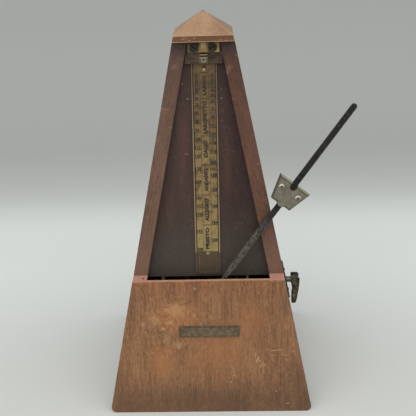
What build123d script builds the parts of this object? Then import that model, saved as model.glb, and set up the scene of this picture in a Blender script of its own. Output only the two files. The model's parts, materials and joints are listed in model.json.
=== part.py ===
from build123d import *
import os
from math import acos, atan, atan2, cos, degrees, hypot, pi, radians, sin, sqrt, tan

# Wind-up pyramid metronome with the front cover taken off.
# Millimetres, +Z up, front towards -Y, origin at the middle of the underside.
os.makedirs("parts", exist_ok=True)

# ---------------------------------------------------------------- driving sizes: case
base_width = 117.5          # across the case at its underside, but for the rounded corners
case_height = 206.6         # underside to the bottom of the cap
top_width = 33.96           # across the case under the cap
board = 8.0                 # thickness of the case boards
front_height = 77.2         # top edge of the front panel
foot_round = 3.2            # rounding of the case's lower corners, seen from the front
lip = 2.0                   # what is left of the panel in front of the cover slot
slot_depth = 18.0           # depth of the cover slot below the panel's top edge
soft_edge = 0.6             # wear on the outer edges of the boards
fit = 0.3                   # clearance round loose-fitting boards
cap_edge = 3.2              # upright edge of the cap
cap_rise = 11.5             # height of the cap's roof
apex_width = 0.8            # blunted point of the roof
panel_depth = 13.0          # front face of the inner panel behind the front face
panel_thickness = 2.5       # the inner panel
panel_drop = 3.0            # how far the inner panel reaches below the front panel's top edge
head_height = 13.0          # the head block under the cap
base_thickness = 8.0        # the base board
block_size = 11.0           # corner block, across
block_height = 12.0         # corner block, tall
board_screw_radius = 1.6
board_screw_head = 3.0
board_screw_sink = 2.2      # countersunk heads lie this deep in the base board
board_screw_length = 13.0

# ---------------------------------------------------------------- driving sizes: trim
scale_width = 14.3
scale_thickness = 0.8
scale_rim = 0.6             # raised edge along both sides of the scale
scale_rim_height = 0.35
scale_bottom = 12.2         # above the pendulum's axis, along the face
scale_pin_low = 24.8         # lowest pin above the axis
scale_pin_top_gap = 3.35    # highest pin below the scale's top edge
scale_pin_shift = 2.3       # middle pin above the middle of the other two
scale_top_gap = 0.2         # between the scale and the head block
bracket_width = 17.4
bracket_height = 5.2
bracket_top_gap = 1.6       # bracket below the cap, along the face
catch_sheet = 1.0           # thickness of the bracket and the crossbar
crossbar_width = 20.2
crossbar_height = 5.9
tongue_width = 2.8
tongue_foot = 4.4
tongue_reach = 1.8          # how far the tongue stands in front of the bracket
bar_height = 1.0            # pressed-out bar between the crossbar's two slots
bar_rise = 0.8
slot_height = 0.6
catch_hole = 0.5
catch_screw_spacing = 10.3
plate_width = 34.4
plate_height = 6.4
plate_thickness = 0.6
plate_centre = 48.0         # height of the bare plate above the underside
plate_pin_spacing = 32.0
escutcheon_height = 25.4
escutcheon_width = 14.0
escutcheon_thickness = 0.8
escutcheon_nail_spacing = 14.2
escutcheon_play = 0.6       # round the winding arbor
arbor_hole_play = 2.2       # round the winding arbor in the side board
pin_radius = 0.5            # small brass pins
pin_head = 0.9
pin_head_height = 0.45
pin_length = 2.2

# ---------------------------------------------------------------- driving sizes: pendulum
pivot_drop = 11.5           # pendulum's axis below the front panel's top edge, along the face
rest_angle = 37.24          # lean of the pendulum to the right of upright at rest
rod_depth = 5.0             # middle of the rod behind the front face
rod_width = 3.4
rod_thickness = 1.0
rod_length = 136.4
neck_width = 2.0
neck_start = 15.0
neck_end = 24.0
hub_radius = 3.5
hub_front = 2.7             # depth of the hub's front face
hub_back = 12.3
bob_rod_depth = 11.0
bob_rod_length = 46.0
bob_radius = 15.5
bob_thickness = 7.4
bob_front = 9.2
bob_centre = 38.0           # below the axis
weight_centre = 75.0        # above the axis at rest
weight_top = 20.4
weight_bottom = 12.6
weight_height = 14.0
weight_thickness = 4.8
weight_bevel = 0.9
weight_lobe = 2.6
weight_rivet_spacing = 11.2
weight_rivet_rise = 1.5
rivet_head = 1.5
rivet_head_height = 0.5
groove_play = 0.15          # round the rod inside the weight
notch_length = 4.0
leaf = 0.25                 # spring strip in the weight
leaf_length = 8.4
leaf_width = 2.7
leaf_rise = 0.85            # how far the arched strip stands up

# ---------------------------------------------------------------- driving sizes: movement
frame_left = -26.0          # inner face of the left frame plate
frame_right = 22.0          # inner face of the right frame plate
frame_plate = 1.5
frame_front = 18.4          # the plates' front edge behind the front face, level with the axis
frame_length = 48.0         # front edge to back edge
frame_rise = 14.0           # the plates' top above the pendulum's axis
frame_shoulder = 10.0       # below the top, where the plates' front edge turns back
frame_shoulder_back = 5.0
frame_corner = 3.0
foot_length = 11.0
foot_screw_inset = 9.0      # foot screws from both ends of the foot
low_pillar_inset = 7.0      # low pillars from the plates' front and back edges
low_pillar_height = 14.0    # above the base board
front_pillar_back = 19.0    # behind the plates' front edge
front_pillar_drop = 4.0     # below the plates' top
pillar_radius = 2.5
crown_depth = 26.0          # crown wheel's axis behind the front face
winding_behind = 20.5       # winding arbor behind the crown wheel's axis
winding_below = 1.0
great_teeth = 60
great_module = 0.6
pinion_teeth = 12
second_teeth = 48
second_module = 0.5
pressure_angle = 25.0
backlash = 0.1
crown_teeth = 15
crown_radius = 9.0
crown_wall = 1.0
crown_tooth = 2.6
pallet_reach = 3.0
pallet_width = 3.0
pallet_thickness = 0.8
pallet_spread = 45.0        # each pallet's angle from the line to the crown wheel
escape_gap = 0.3            # between the pallets and the crown wheel's teeth
running = 0.05              # radial clearance of every pivot
wheel_thickness = 2.0
ratchet_thickness = 1.6
second_thickness = 1.5
window_radius = 3.2         # round windows in the great wheel
window_ring = 10.8
second_window_radius = 2.6
second_window_ring = 6.8
crown_cup = 5.4             # height of the crown wheel's cup with its teeth
crown_web = 1.0
crown_window_radius = 1.8
crown_window_ring = 5.0
pinion_margin = 1.0         # how far a pinion stands out past its wheel
great_left = 15.5           # left face of the great wheel
second_left = -21.5
arbor_radius = 1.2
pivot_radius = 0.8
winding_radius = 2.25
drum_radius = 4.0
stem_radius = 1.8
spring_left = 4.5
spring_height = 10.0
spring_strip = 0.4
spring_turns = 6
spring_pitch = 2.0
spring_loop = 12.0          # straight run from the last coil to its pillar
spring_end_angle = 12.0
ratchet_teeth = 24
ratchet_radius = 7.0
ratchet_tooth = 1.1
click_pivot = 11.6          # click's pivot from the winding arbor
click_gap = 0.15            # click's nose above the ratchet's tips
click_angle = 90.0          # click's pivot seen from the winding arbor
click_eye = 2.0
click_nose_swing = 38.0     # from the click's pivot round to its nose
click_nose_rise = 1.9
click_nose_slant = 3.0
spring_foot_radius = 1.5
spring_foot_ring = 15.3     # click spring's foot from the winding arbor
spring_foot_swing = 4.0
blade_gap = 1.2             # click spring's blade clear of the click
blade_side = 60.0           # side of the click on which the blade lies
blade_width = 1.4
bridge_sheet = 1.6          # sheet of the bridge and the two cocks
bridge_height = 12.0
bridge_clearance = 0.7      # between the bridge and the crown arbor's pivot
bridge_screw_back = 5.0     # bridge screws ahead of the crown arbor
bridge_screw_spacing = 7.0
rear_cock_height = 8.4
rear_foot_length = 8.0
rear_foot_height = 11.0
rear_screw_back = 4.5       # rear cock's screws behind its front face
rear_screw_rises = (5.5, 10.5)
escape_cock_face = -12.0    # side of the escape cock that faces the crown wheel
escape_cock_width = 9.0
escape_cock_top = 13.0      # above the crown arbor
escape_foot_low = 5.0
escape_screw_spacing = 5.0
escape_screw_rise = 9.0
screw_grip = 5.0            # how far screws reach into a pillar
screw_radius = 1.2
screw_head = 2.4
screw_head_height = 1.4
small_screw_radius = 0.9
small_screw_head = 1.9
small_screw_height = 1.0
endshake = 0.2              # free play along each arbor
pivot_tail = 0.8            # how far pivots stand out of their plates

# ---------------------------------------------------------------- driving sizes: key
hub_stand_off = 3.8         # the key's hub from the right side board
key_hub_radius = 2.9
key_hub_length = 3.6
key_tang_radius = 1.0       # arbor's end inside the hub
key_pin_radius = 0.6
key_pin_rise = 1.75          # the pin above the arbor's axis
key_pin_along = 2.0         # the pin from the hub's left face
cheek_gap = 0.1
cheek_thickness = 1.0
cheek_top = 3.0             # above the arbor's axis
bow_radius = 4.8            # round thumb end of the bow
bow_drop = 11.5              # centre of the thumb end below the arbor's axis
bow_bulge = 5.0             # the bow's outer face from the hub's left face
bow_tip_thickness = 1.6
bow_neck = 1.3              # the bow's inner face below the cheeks, from the hub's left face
bow_stand_off = 0.6         # the same at the tip
bow_corner = 1.0            # corner at the top of the cheeks
bow_waist = 0.6             # how far the bow's outer face falls in below the hub
bow_waist_drop = 5.5
bow_clearance = 0.3         # between the bow and the hub as it folds

# ---------------------------------------------------------------- derived
lean = atan((base_width - top_width) / 2 / case_height)
wall = board / cos(lean)
out = Vector(0, -cos(lean), sin(lean))
inward = out * -1
uphill = Vector(0, sin(lean), cos(lean))


def half_width(z):
    """Half the width of the outer pyramid at height z."""
    return base_width / 2 - z * tan(lean)


def inset(z, depth):
    """Half the width of the pyramid that lies the given depth inside the outer one."""
    return half_width(z) - depth / cos(lean)


pivot_height = front_height - pivot_drop * cos(lean)
pivot_on_face = Vector(0, -half_width(pivot_height), pivot_height)


def face_plane(depth, turn=0.0):
    """Plane parallel to the front face, its origin on the pendulum's axis and Y up the face."""
    across = Vector(cos(radians(turn)), 0, 0) + uphill * sin(radians(turn))
    return Plane(origin=pivot_on_face + inward * depth, x_dir=across, z_dir=out)


def swing_plane(depth):
    """The same plane, turned so that Y runs up the leaning rod."""
    return face_plane(depth, -rest_angle)


def side_plane(x):
    """Plane across X: local X runs inwards along the pendulum's axis, local Y up the face."""
    return Plane(origin=pivot_on_face + Vector(x, 0, 0), x_dir=inward, z_dir=(1, 0, 0))


def up_face(z):
    """Distance up the front face from the pendulum's axis to height z."""
    return (z - pivot_height) / cos(lean)


def meeting_point(first, first_radius, second, second_radius):
    """Lower point that lies at one distance from one centre and another from a second."""
    span = hypot(second[0] - first[0], second[1] - first[1])
    along = (first_radius**2 - second_radius**2 + span**2) / (2 * span)
    aside = sqrt(first_radius**2 - along**2)
    unit = ((second[0] - first[0]) / span, (second[1] - first[1]) / span)
    return (
        first[0] + along * unit[0] - aside * unit[1],
        first[1] + along * unit[1] + aside * unit[0],
    )


def angle_to(start, end):
    """Direction from one centre to another, in degrees."""
    return degrees(atan2(end[1] - start[1], end[0] - start[0]))


def polar(centre, radius, angle):
    """Point at a radius and an angle in degrees from a centre."""
    return (centre[0] + radius * cos(radians(angle)), centre[1] + radius * sin(radians(angle)))


crown_centre = (crown_depth, 0.0)
winding_centre = (crown_depth + winding_behind, -winding_below)
great_mesh = great_module * (great_teeth + pinion_teeth) / 2
second_mesh = second_module * (second_teeth + pinion_teeth) / 2
second_centre = meeting_point(winding_centre, great_mesh, crown_centre, second_mesh)
crown_tips = -(pallet_reach + escape_gap)
plate_left_outer = frame_left - frame_plate
plate_right_outer = frame_right + frame_plate


def gear_outline(module, teeth, flank_points):
    """Corner points of an involute gear with one tooth centred on local X."""
    pitch_radius = module * teeth / 2
    base_radius = pitch_radius * cos(radians(pressure_angle))
    root_radius = pitch_radius - 1.2 * module
    tip_radius = pitch_radius + module
    start_radius = max(base_radius, root_radius)
    involute = tan(radians(pressure_angle)) - radians(pressure_angle)
    half_tooth = pi / (2 * teeth) - backlash / (4 * pitch_radius)
    flank = []
    for step in range(flank_points):
        radius = start_radius + (tip_radius - start_radius) * step / (flank_points - 1)
        slope = acos(min(1.0, base_radius / radius))
        flank.append((radius, half_tooth + involute - (tan(slope) - slope)))
    flank.insert(0, (root_radius, flank[0][1] + 0.1 / teeth))
    points = []
    for tooth in range(teeth):
        middle = 2 * pi * tooth / teeth
        for radius, offset in flank:
            points.append((radius * cos(middle - offset), radius * sin(middle - offset)))
        for radius, offset in reversed(flank):
            points.append((radius * cos(middle + offset), radius * sin(middle + offset)))
    return points


def headed_pins(plane, points, head_radius, head_height, shank_radius, shank_length):
    """Round-headed pins or screws: heads stand on the plane, shanks run below it."""
    with BuildPart() as pins:
        with BuildSketch(plane):
            with Locations(*points):
                Circle(head_radius)
        extrude(amount=head_height)
        with BuildSketch(plane):
            with Locations(*points):
                Circle(shank_radius)
        extrude(amount=-shank_length)
    return pins.part


def drill(plane, points, radius, depth):
    """Round holes, to take away from the part being built."""
    with BuildPart() as holes:
        with BuildSketch(plane):
            with Locations(*points):
                Circle(radius)
        extrude(amount=-depth)
    return holes.part


def turned(centre, steps):
    """Arbor along X, as one round step after another: (from x, to x, radius)."""
    with BuildPart() as arbor:
        for start, end, radius in steps:
            with BuildSketch(side_plane(start)):
                with Locations(centre):
                    Circle(radius)
            extrude(amount=end - start)
    return arbor.part


def cut(part):
    """Take a finished shape away from the part being built."""
    add(part, mode=Mode.SUBTRACT)


def foot_edges(board_builder):
    """The bottom edges of a board that run from front to back."""
    return board_builder.edges().filter_by(Axis.Y).group_by(Axis.Z)[0]


# ================================================================ case boards
slot_floor = front_height - slot_depth * cos(lean)
name_pins = [(side * plate_pin_spacing / 2, up_face(plate_centre)) for side in (-1, 1)]

with BuildPart() as front_panel:
    for z in (0, front_height):
        with BuildSketch(Plane.XY.offset(z)):
            with Locations((0, -inset(z, board / 2))):
                Rectangle(2 * half_width(z), wall)
    loft()
    fillet(foot_edges(front_panel), foot_round)
    for z in (slot_floor, front_height + lip):
        with BuildSketch(Plane.XY.offset(z)):
            with Locations((0, -inset(z, lip))):
                Rectangle(2 * inset(z, board), 2 * wall, align=(Align.CENTER, Align.MIN))
    loft(mode=Mode.SUBTRACT)
    cut(drill(face_plane(0), name_pins, pin_radius, pin_length))
front_panel.part.label = "front_panel"
export_step(front_panel.part, "parts/front_panel.step")

with BuildPart() as back_board:
    for z in (0, case_height):
        with BuildSketch(Plane.XY.offset(z)):
            with Locations((0, inset(z, board / 2))):
                Rectangle(2 * half_width(z), wall)
    loft()
    fillet(foot_edges(back_board), foot_round)
back_board.part.label = "back_board"
export_step(back_board.part, "parts/back_board.step")

with BuildPart() as left_side_board:
    for z in (0, case_height):
        with BuildSketch(Plane.XY.offset(z)):
            with Locations((-inset(z, board / 2), 0)):
                Rectangle(wall, 2 * inset(z, board))
    loft()
    fillet(foot_edges(left_side_board).sort_by(Axis.X)[0], foot_round)
left_side_board.part.label = "left_side_board"
export_step(left_side_board.part, "parts/left_side_board.step")

arbor_hole = stem_radius + arbor_hole_play
winding_axis = side_plane(0).from_local_coords(winding_centre)
arbor_exit = Vector(half_width(winding_axis.Z), winding_axis.Y, winding_axis.Z)
hub_start = arbor_exit.X + hub_stand_off
right_face = Plane(origin=arbor_exit, x_dir=(0, 1, 0), z_dir=(cos(lean), 0, sin(lean)))
escutcheon_nail_points = [(0, side * escutcheon_nail_spacing / 2) for side in (-1, 1)]

with BuildPart() as right_side_board:
    add(left_side_board.part.mirror(Plane.YZ))
    with BuildSketch(side_plane(frame_right)):
        with Locations(winding_centre):
            Circle(arbor_hole)
    extrude(amount=base_width / 2, mode=Mode.SUBTRACT)
    cut(drill(right_face, escutcheon_nail_points, pin_radius, pin_length))
right_side_board.part.label = "right_side_board"
export_step(right_side_board.part, "parts/right_side_board.step")

head_bottom = case_height - head_height
scale_face = panel_depth - scale_thickness
scale_top = (head_bottom - pivot_height + scale_face * sin(lean)) / cos(lean) - scale_top_gap
scale_length = scale_top - scale_bottom
scale_pin_high = scale_top - scale_pin_top_gap
scale_pin_middle = (scale_pin_low + scale_pin_high) / 2 + scale_pin_shift
scale_pins_at = [(0, scale_pin_low), (0, scale_pin_middle), (0, scale_pin_high)]
panel_bottom = front_height - panel_drop

with BuildPart() as inner_panel:
    for z in (panel_bottom, case_height):
        with BuildSketch(Plane.XY.offset(z)):
            with Locations((0, -inset(z, panel_depth + panel_thickness / 2))):
                Rectangle(2 * inset(z, board), panel_thickness / cos(lean))
    loft()
    cut(drill(face_plane(panel_depth), scale_pins_at, pin_radius, pin_length - scale_thickness))
inner_panel.part.label = "inner_panel"
export_step(inner_panel.part, "parts/inner_panel.step")

catch_back = board + 2 * catch_sheet
bracket_top = (case_height - pivot_height + board * sin(lean)) / cos(lean) - bracket_top_gap
bracket_bottom = bracket_top - bracket_height
bracket_middle = bracket_top - bracket_height / 2
catch_screws_at = [(side * catch_screw_spacing / 2, bracket_middle) for side in (-1, 1)]
catch_screw_length = 2 * catch_sheet + panel_depth - catch_back

with BuildPart() as head_block:
    for z in (head_bottom, case_height):
        with BuildSketch(Plane.XY.offset(z)):
            with Locations((0, -inset(z, catch_back))):
                Rectangle(
                    2 * inset(z, board),
                    (panel_depth - catch_back) / cos(lean),
                    align=(Align.CENTER, Align.MIN),
                )
    loft()
    cut(drill(face_plane(board), catch_screws_at, screw_radius, catch_screw_length))
head_block.part.label = "head_block"
export_step(head_block.part, "parts/head_block.step")

with BuildPart() as cap:
    for z in (case_height, case_height + cap_edge):
        with BuildSketch(Plane.XY.offset(z)):
            Rectangle(2 * half_width(z), 2 * half_width(z))
    loft()
    roof_start = case_height + cap_edge
    for z, width in ((roof_start, 2 * half_width(roof_start)), (roof_start + cap_rise, apex_width)):
        with BuildSketch(Plane.XY.offset(z)):
            Rectangle(width, width)
    loft()
cap.part.label = "cap"
export_step(cap.part, "parts/cap.step")

block_centre = inset(base_thickness, board) - block_size / 2
board_screws_at = [(x * block_centre, y * block_centre) for x in (-1, 1) for y in (-1, 1)]
underside = Plane(origin=(0, 0, 0), x_dir=(1, 0, 0), z_dir=(0, 0, -1))
screw_seat = underside.offset(-board_screw_sink)
foot_middle = frame_plate + foot_length / 2
frame_front_y = pivot_on_face.Y + frame_front
frame_back_y = frame_front_y + frame_length
foot_screws_at = [(x, y) for x in (frame_left - foot_middle, frame_right + foot_middle)
                  for y in (frame_front_y + foot_screw_inset, frame_back_y - foot_screw_inset)]
foot_seat = Plane.XY.offset(base_thickness + frame_plate)
foot_screw_length = frame_plate + base_thickness - board_screw_sink

with BuildPart() as base_board:
    for z in (0, base_thickness):
        with BuildSketch(Plane.XY.offset(z)):
            Rectangle(2 * inset(z, board) - fit, 2 * inset(z, board) - fit)
    loft()
    cut(drill(underside, board_screws_at, board_screw_radius, base_thickness))
    cut(drill(underside, board_screws_at, board_screw_head + fit / 2, board_screw_sink))
    cut(drill(foot_seat, foot_screws_at, screw_radius, foot_screw_length))
base_board.part.label = "base_board"
export_step(base_board.part, "parts/base_board.step")

with BuildPart() as corner_blocks:
    for x, y in ((-1, -1), (-1, 1), (1, -1), (1, 1)):
        for z in (base_thickness, base_thickness + block_height):
            middle = inset(z, board) - block_size / 2
            with BuildSketch(Plane.XY.offset(z)):
                with Locations((x * middle, y * middle)):
                    Rectangle(block_size, block_size)
        loft()
    cut(drill(screw_seat, board_screws_at, board_screw_radius, board_screw_length))
corner_blocks.part.label = "corner_blocks"
export_step(corner_blocks.part, "parts/corner_blocks.step")

with BuildPart() as base_screws:
    add(headed_pins(screw_seat, board_screws_at, board_screw_head, board_screw_sink - fit,
                    board_screw_radius, board_screw_length))
base_screws.part.label = "base_screws"
export_step(base_screws.part, "parts/base_screws.step")

# ================================================================ trim on the front
with BuildPart() as scale_plate:
    with BuildSketch(face_plane(panel_depth)):
        with Locations((0, scale_bottom + scale_length / 2)):
            Rectangle(scale_width, scale_length)
    extrude(amount=scale_thickness)
    with BuildSketch(face_plane(scale_face)):
        for side in (-1, 1):
            with Locations((side * (scale_width - scale_rim) / 2, scale_bottom + scale_length / 2)):
                Rectangle(scale_rim, scale_length)
    extrude(amount=scale_rim_height)
    cut(drill(face_plane(scale_face), scale_pins_at, pin_radius, scale_thickness))
scale_plate.part.label = "scale_plate"
export_step(scale_plate.part, "parts/scale_plate.step")

with BuildPart() as scale_pins:
    add(headed_pins(face_plane(scale_face), scale_pins_at, pin_head, pin_head_height,
                    pin_radius, pin_length))
scale_pins.part.label = "scale_pins"
export_step(scale_pins.part, "parts/scale_pins.step")

upper_slot = bracket_bottom - slot_height
lower_slot = upper_slot - bar_height - slot_height
hole_height = bracket_bottom - 2 * slot_height - 2 * bar_height - catch_hole

with BuildPart() as catch_crossbar:
    with BuildSketch(face_plane(catch_back)):
        with Locations((0, bracket_bottom)):
            Rectangle(crossbar_width, crossbar_height, align=(Align.CENTER, Align.MAX))
            Rectangle(bracket_width, bracket_height, align=(Align.CENTER, Align.MIN))
        for slot in (upper_slot, lower_slot):
            with Locations((0, slot)):
                Rectangle(tongue_foot, slot_height, align=(Align.CENTER, Align.MIN),
                          mode=Mode.SUBTRACT)
        with Locations((0, hole_height)):
            Circle(catch_hole, mode=Mode.SUBTRACT)
    extrude(amount=catch_sheet)
    with BuildSketch(face_plane(board + catch_sheet)):
        with Locations((0, upper_slot)):
            Rectangle(tongue_foot, bar_height, align=(Align.CENTER, Align.MAX))
    extrude(amount=bar_rise)
    cut(drill(face_plane(board), catch_screws_at, screw_radius, 2 * catch_sheet))
catch_crossbar.part.label = "catch_crossbar"
export_step(catch_crossbar.part, "parts/catch_crossbar.step")

tongue_face = board - tongue_reach

with BuildPart() as catch_bracket:
    with BuildSketch(face_plane(board + catch_sheet)):
        with Locations((0, bracket_middle)):
            Rectangle(bracket_width, bracket_height)
    extrude(amount=catch_sheet)
    with BuildSketch(face_plane(board)):
        with Locations((0, bracket_top)):
            Rectangle(tongue_width, catch_sheet, align=(Align.CENTER, Align.MAX))
    extrude(amount=tongue_reach)
    with BuildSketch(face_plane(tongue_face + catch_sheet)):
        with BuildLine():
            Polyline(
                (-tongue_width / 2, bracket_top),
                (-tongue_width / 2, bracket_middle),
                (-tongue_foot / 2, bracket_bottom),
                (tongue_foot / 2, bracket_bottom),
                (tongue_width / 2, bracket_middle),
                (tongue_width / 2, bracket_top),
                close=True,
            )
        make_face()
    extrude(amount=catch_sheet)
    cut(drill(face_plane(board), catch_screws_at, screw_radius, catch_sheet))
catch_bracket.part.label = "catch_bracket"
export_step(catch_bracket.part, "parts/catch_bracket.step")

with BuildPart() as catch_screws:
    add(headed_pins(face_plane(board), catch_screws_at, screw_head, small_screw_height,
                    screw_radius, catch_screw_length))
catch_screws.part.label = "catch_screws"
export_step(catch_screws.part, "parts/catch_screws.step")

with BuildPart() as name_plate:
    with BuildSketch(face_plane(0)):
        with Locations((0, up_face(plate_centre))):
            Rectangle(plate_width, plate_height)
    extrude(amount=plate_thickness)
    cut(drill(face_plane(-plate_thickness), name_pins, pin_radius, plate_thickness))
name_plate.part.label = "name_plate"
export_step(name_plate.part, "parts/name_plate.step")

with BuildPart() as name_plate_pins:
    add(headed_pins(face_plane(-plate_thickness), name_pins, pin_head, pin_head_height,
                    pin_radius, plate_thickness + pin_length))
name_plate_pins.part.label = "name_plate_pins"
export_step(name_plate_pins.part, "parts/name_plate_pins.step")

with BuildPart() as escutcheon:
    with BuildSketch(right_face):
        Ellipse(escutcheon_width / 2, escutcheon_height / 2)
        Circle(stem_radius + escutcheon_play, mode=Mode.SUBTRACT)
        with Locations(*escutcheon_nail_points):
            Circle(pin_radius, mode=Mode.SUBTRACT)
    extrude(amount=escutcheon_thickness)
escutcheon.part.label = "escutcheon"
export_step(escutcheon.part, "parts/escutcheon.step")

with BuildPart() as escutcheon_nails:
    add(headed_pins(right_face.offset(escutcheon_thickness), escutcheon_nail_points, pin_head,
                    pin_head_height, pin_radius, escutcheon_thickness + pin_length))
escutcheon_nails.part.label = "escutcheon_nails"
export_step(escutcheon_nails.part, "parts/escutcheon_nails.step")

# ================================================================ pendulum
rod_face = rod_depth - rod_thickness / 2
rod_back = rod_depth + rod_thickness / 2
bridge_front = panel_depth
bridge_back = bridge_front + bridge_sheet
cock_front = crown_depth + crown_radius + pallet_width
cock_back = cock_front + bridge_sheet

with BuildPart() as verge:
    for front, back, radius in (
        (rod_face - rod_thickness, bridge_back + endshake, pivot_radius),
        (bridge_back + endshake, cock_front - endshake, arbor_radius),
        (cock_front - endshake, cock_back + pivot_tail, pivot_radius),
    ):
        with BuildSketch(face_plane(back)):
            Circle(radius)
        extrude(amount=back - front)
    crossing = crown_radius - crown_wall / 2
    for depth, angle in (
        (crown_depth - crossing, 180 - pallet_spread),
        (crown_depth + crossing, 180 + pallet_spread),
    ):
        with BuildSketch(swing_plane(depth + pallet_width / 2)):
            with Locations(Location((0, 0, 0), (0, 0, angle))):
                Rectangle(pallet_reach, pallet_thickness, align=(Align.MIN, Align.CENTER))
        extrude(amount=pallet_width)
verge.part.label = "verge"
export_step(verge.part, "parts/verge.step")

with BuildPart() as pendulum_rod:
    with BuildSketch(swing_plane(rod_back)):
        with BuildLine():
            shoulder = rod_length - rod_width / 2
            Polyline(
                (-rod_width / 2, shoulder),
                (-rod_width / 2, neck_end),
                (-neck_width / 2, neck_start),
                (-neck_width / 2, pivot_radius),
                (neck_width / 2, pivot_radius),
                (neck_width / 2, neck_start),
                (rod_width / 2, neck_end),
                (rod_width / 2, shoulder),
            )
            ThreePointArc((rod_width / 2, shoulder), (0, rod_length), (-rod_width / 2, shoulder))
        make_face()
    extrude(amount=rod_thickness)
pendulum_rod.part.label = "pendulum_rod"
export_step(pendulum_rod.part, "parts/pendulum_rod.step")

with BuildPart() as bob_rod:
    with BuildSketch(swing_plane(bob_rod_depth + rod_thickness / 2)):
        with Locations((0, -pivot_radius)):
            Rectangle(rod_width, bob_rod_length, align=(Align.CENTER, Align.MAX))
    extrude(amount=rod_thickness)
bob_rod.part.label = "bob_rod"
export_step(bob_rod.part, "parts/bob_rod.step")

with BuildPart() as pendulum_hub:
    with BuildSketch(face_plane(hub_back)):
        Circle(hub_radius)
    extrude(amount=hub_back - hub_front)
    chamfer(pendulum_hub.faces().sort_by(Axis.Y)[0].edges(), soft_edge)
    cut(verge.part)
    cut(pendulum_rod.part)
    cut(bob_rod.part)
pendulum_hub.part.label = "pendulum_hub"
export_step(pendulum_hub.part, "parts/pendulum_hub.step")

with BuildPart() as pendulum_bob:
    with BuildSketch(swing_plane(bob_front + bob_thickness)):
        with Locations((0, -bob_centre)):
            Circle(bob_radius)
    extrude(amount=bob_thickness)
    chamfer(pendulum_bob.edges().filter_by(GeomType.CIRCLE), soft_edge)
    cut(bob_rod.part)
pendulum_bob.part.label = "pendulum_bob"
export_step(pendulum_bob.part, "parts/pendulum_bob.step")

# ---------------------------------------------------------------- sliding weight
weight_front_depth = rod_depth - weight_thickness / 2
weight_back_depth = rod_depth + weight_thickness / 2
groove_width = rod_width + 2 * groove_play
groove_depth = rod_thickness / 2 + groove_play
pocket_depth = groove_depth + leaf_rise + leaf / 2
weight_rivets_at = [(side * weight_rivet_spacing / 2, weight_centre + weight_rivet_rise)
                    for side in (-1, 1)]


def weight_half(back_depth, outward):
    """One half of the weight: a wide-topped plate, bevelled outside, with a round lobe under it."""
    low = weight_centre - weight_height / 2
    high = weight_centre + weight_height / 2
    with BuildPart() as half:
        with BuildSketch(swing_plane(back_depth)):
            with BuildLine():
                Polyline(
                    (-weight_bottom / 2, low),
                    (weight_bottom / 2, low),
                    (weight_top / 2, high),
                    (-weight_top / 2, high),
                    close=True,
                )
            make_face()
        extrude(amount=weight_thickness / 2)
        outer_face = half.faces().sort_by(Axis((0, 0, 0), outward))[-1]
        chamfer(outer_face.edges(), weight_bevel)
        with BuildSketch(swing_plane(back_depth)):
            with Locations((0, low + weight_lobe / 2)):
                Circle(weight_lobe)
        extrude(amount=weight_thickness / 2)
    return half.part


with BuildPart() as weight_front:
    add(weight_half(rod_depth, out))
    with BuildSketch(swing_plane(rod_depth)):
        with Locations((0, weight_centre)):
            Rectangle(groove_width, 2 * weight_height)
    extrude(amount=groove_depth, mode=Mode.SUBTRACT)
    with BuildSketch(swing_plane(rod_depth)):
        with Locations((0, weight_centre + weight_height / 2)):
            SlotOverall(2 * notch_length, groove_width, rotation=90)
    extrude(amount=weight_thickness, mode=Mode.SUBTRACT)
    cut(drill(swing_plane(weight_front_depth), weight_rivets_at, pivot_radius, weight_thickness))
weight_front.part.label = "weight_front"
export_step(weight_front.part, "parts/weight_front.step")

with BuildPart() as weight_back:
    add(weight_half(weight_back_depth, inward))
    with BuildSketch(swing_plane(rod_depth + groove_depth)):
        with Locations((0, weight_centre)):
            Rectangle(groove_width, 2 * weight_height)
    extrude(amount=groove_depth, mode=Mode.SUBTRACT)
    with BuildSketch(swing_plane(rod_depth + pocket_depth)):
        with Locations((0, weight_centre)):
            Rectangle(groove_width, leaf_length)
    extrude(amount=pocket_depth, mode=Mode.SUBTRACT)
    cut(drill(swing_plane(weight_front_depth), weight_rivets_at, pivot_radius, weight_thickness))
weight_back.part.label = "weight_back"
export_step(weight_back.part, "parts/weight_back.step")

with BuildPart() as weight_rivets:
    add(headed_pins(swing_plane(weight_front_depth), weight_rivets_at, rivet_head,
                    rivet_head_height, pivot_radius, weight_thickness))
weight_rivets.part.label = "weight_rivets"
export_step(weight_rivets.part, "parts/weight_rivets.step")

leaf_origin = swing_plane(rod_depth).from_local_coords((leaf_width / 2, weight_centre))
leaf_plane = Plane(origin=leaf_origin, x_dir=inward, z_dir=swing_plane(0).x_dir)
leaf_crest = rod_thickness / 2 + running
leaf_foot = leaf_crest + leaf_rise

with BuildPart() as weight_spring:
    with BuildSketch(leaf_plane):
        with BuildLine():
            Polyline((leaf_foot, -leaf_length / 2), (leaf_foot + leaf, -leaf_length / 2))
            ThreePointArc((leaf_foot + leaf, -leaf_length / 2), (leaf_crest + leaf, 0),
                          (leaf_foot + leaf, leaf_length / 2))
            Polyline((leaf_foot + leaf, leaf_length / 2), (leaf_foot, leaf_length / 2))
            ThreePointArc((leaf_foot, leaf_length / 2), (leaf_crest, 0),
                          (leaf_foot, -leaf_length / 2))
        make_face()
    extrude(amount=-leaf_width)
weight_spring.part.label = "weight_spring"
export_step(weight_spring.part, "parts/weight_spring.step")

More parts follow.
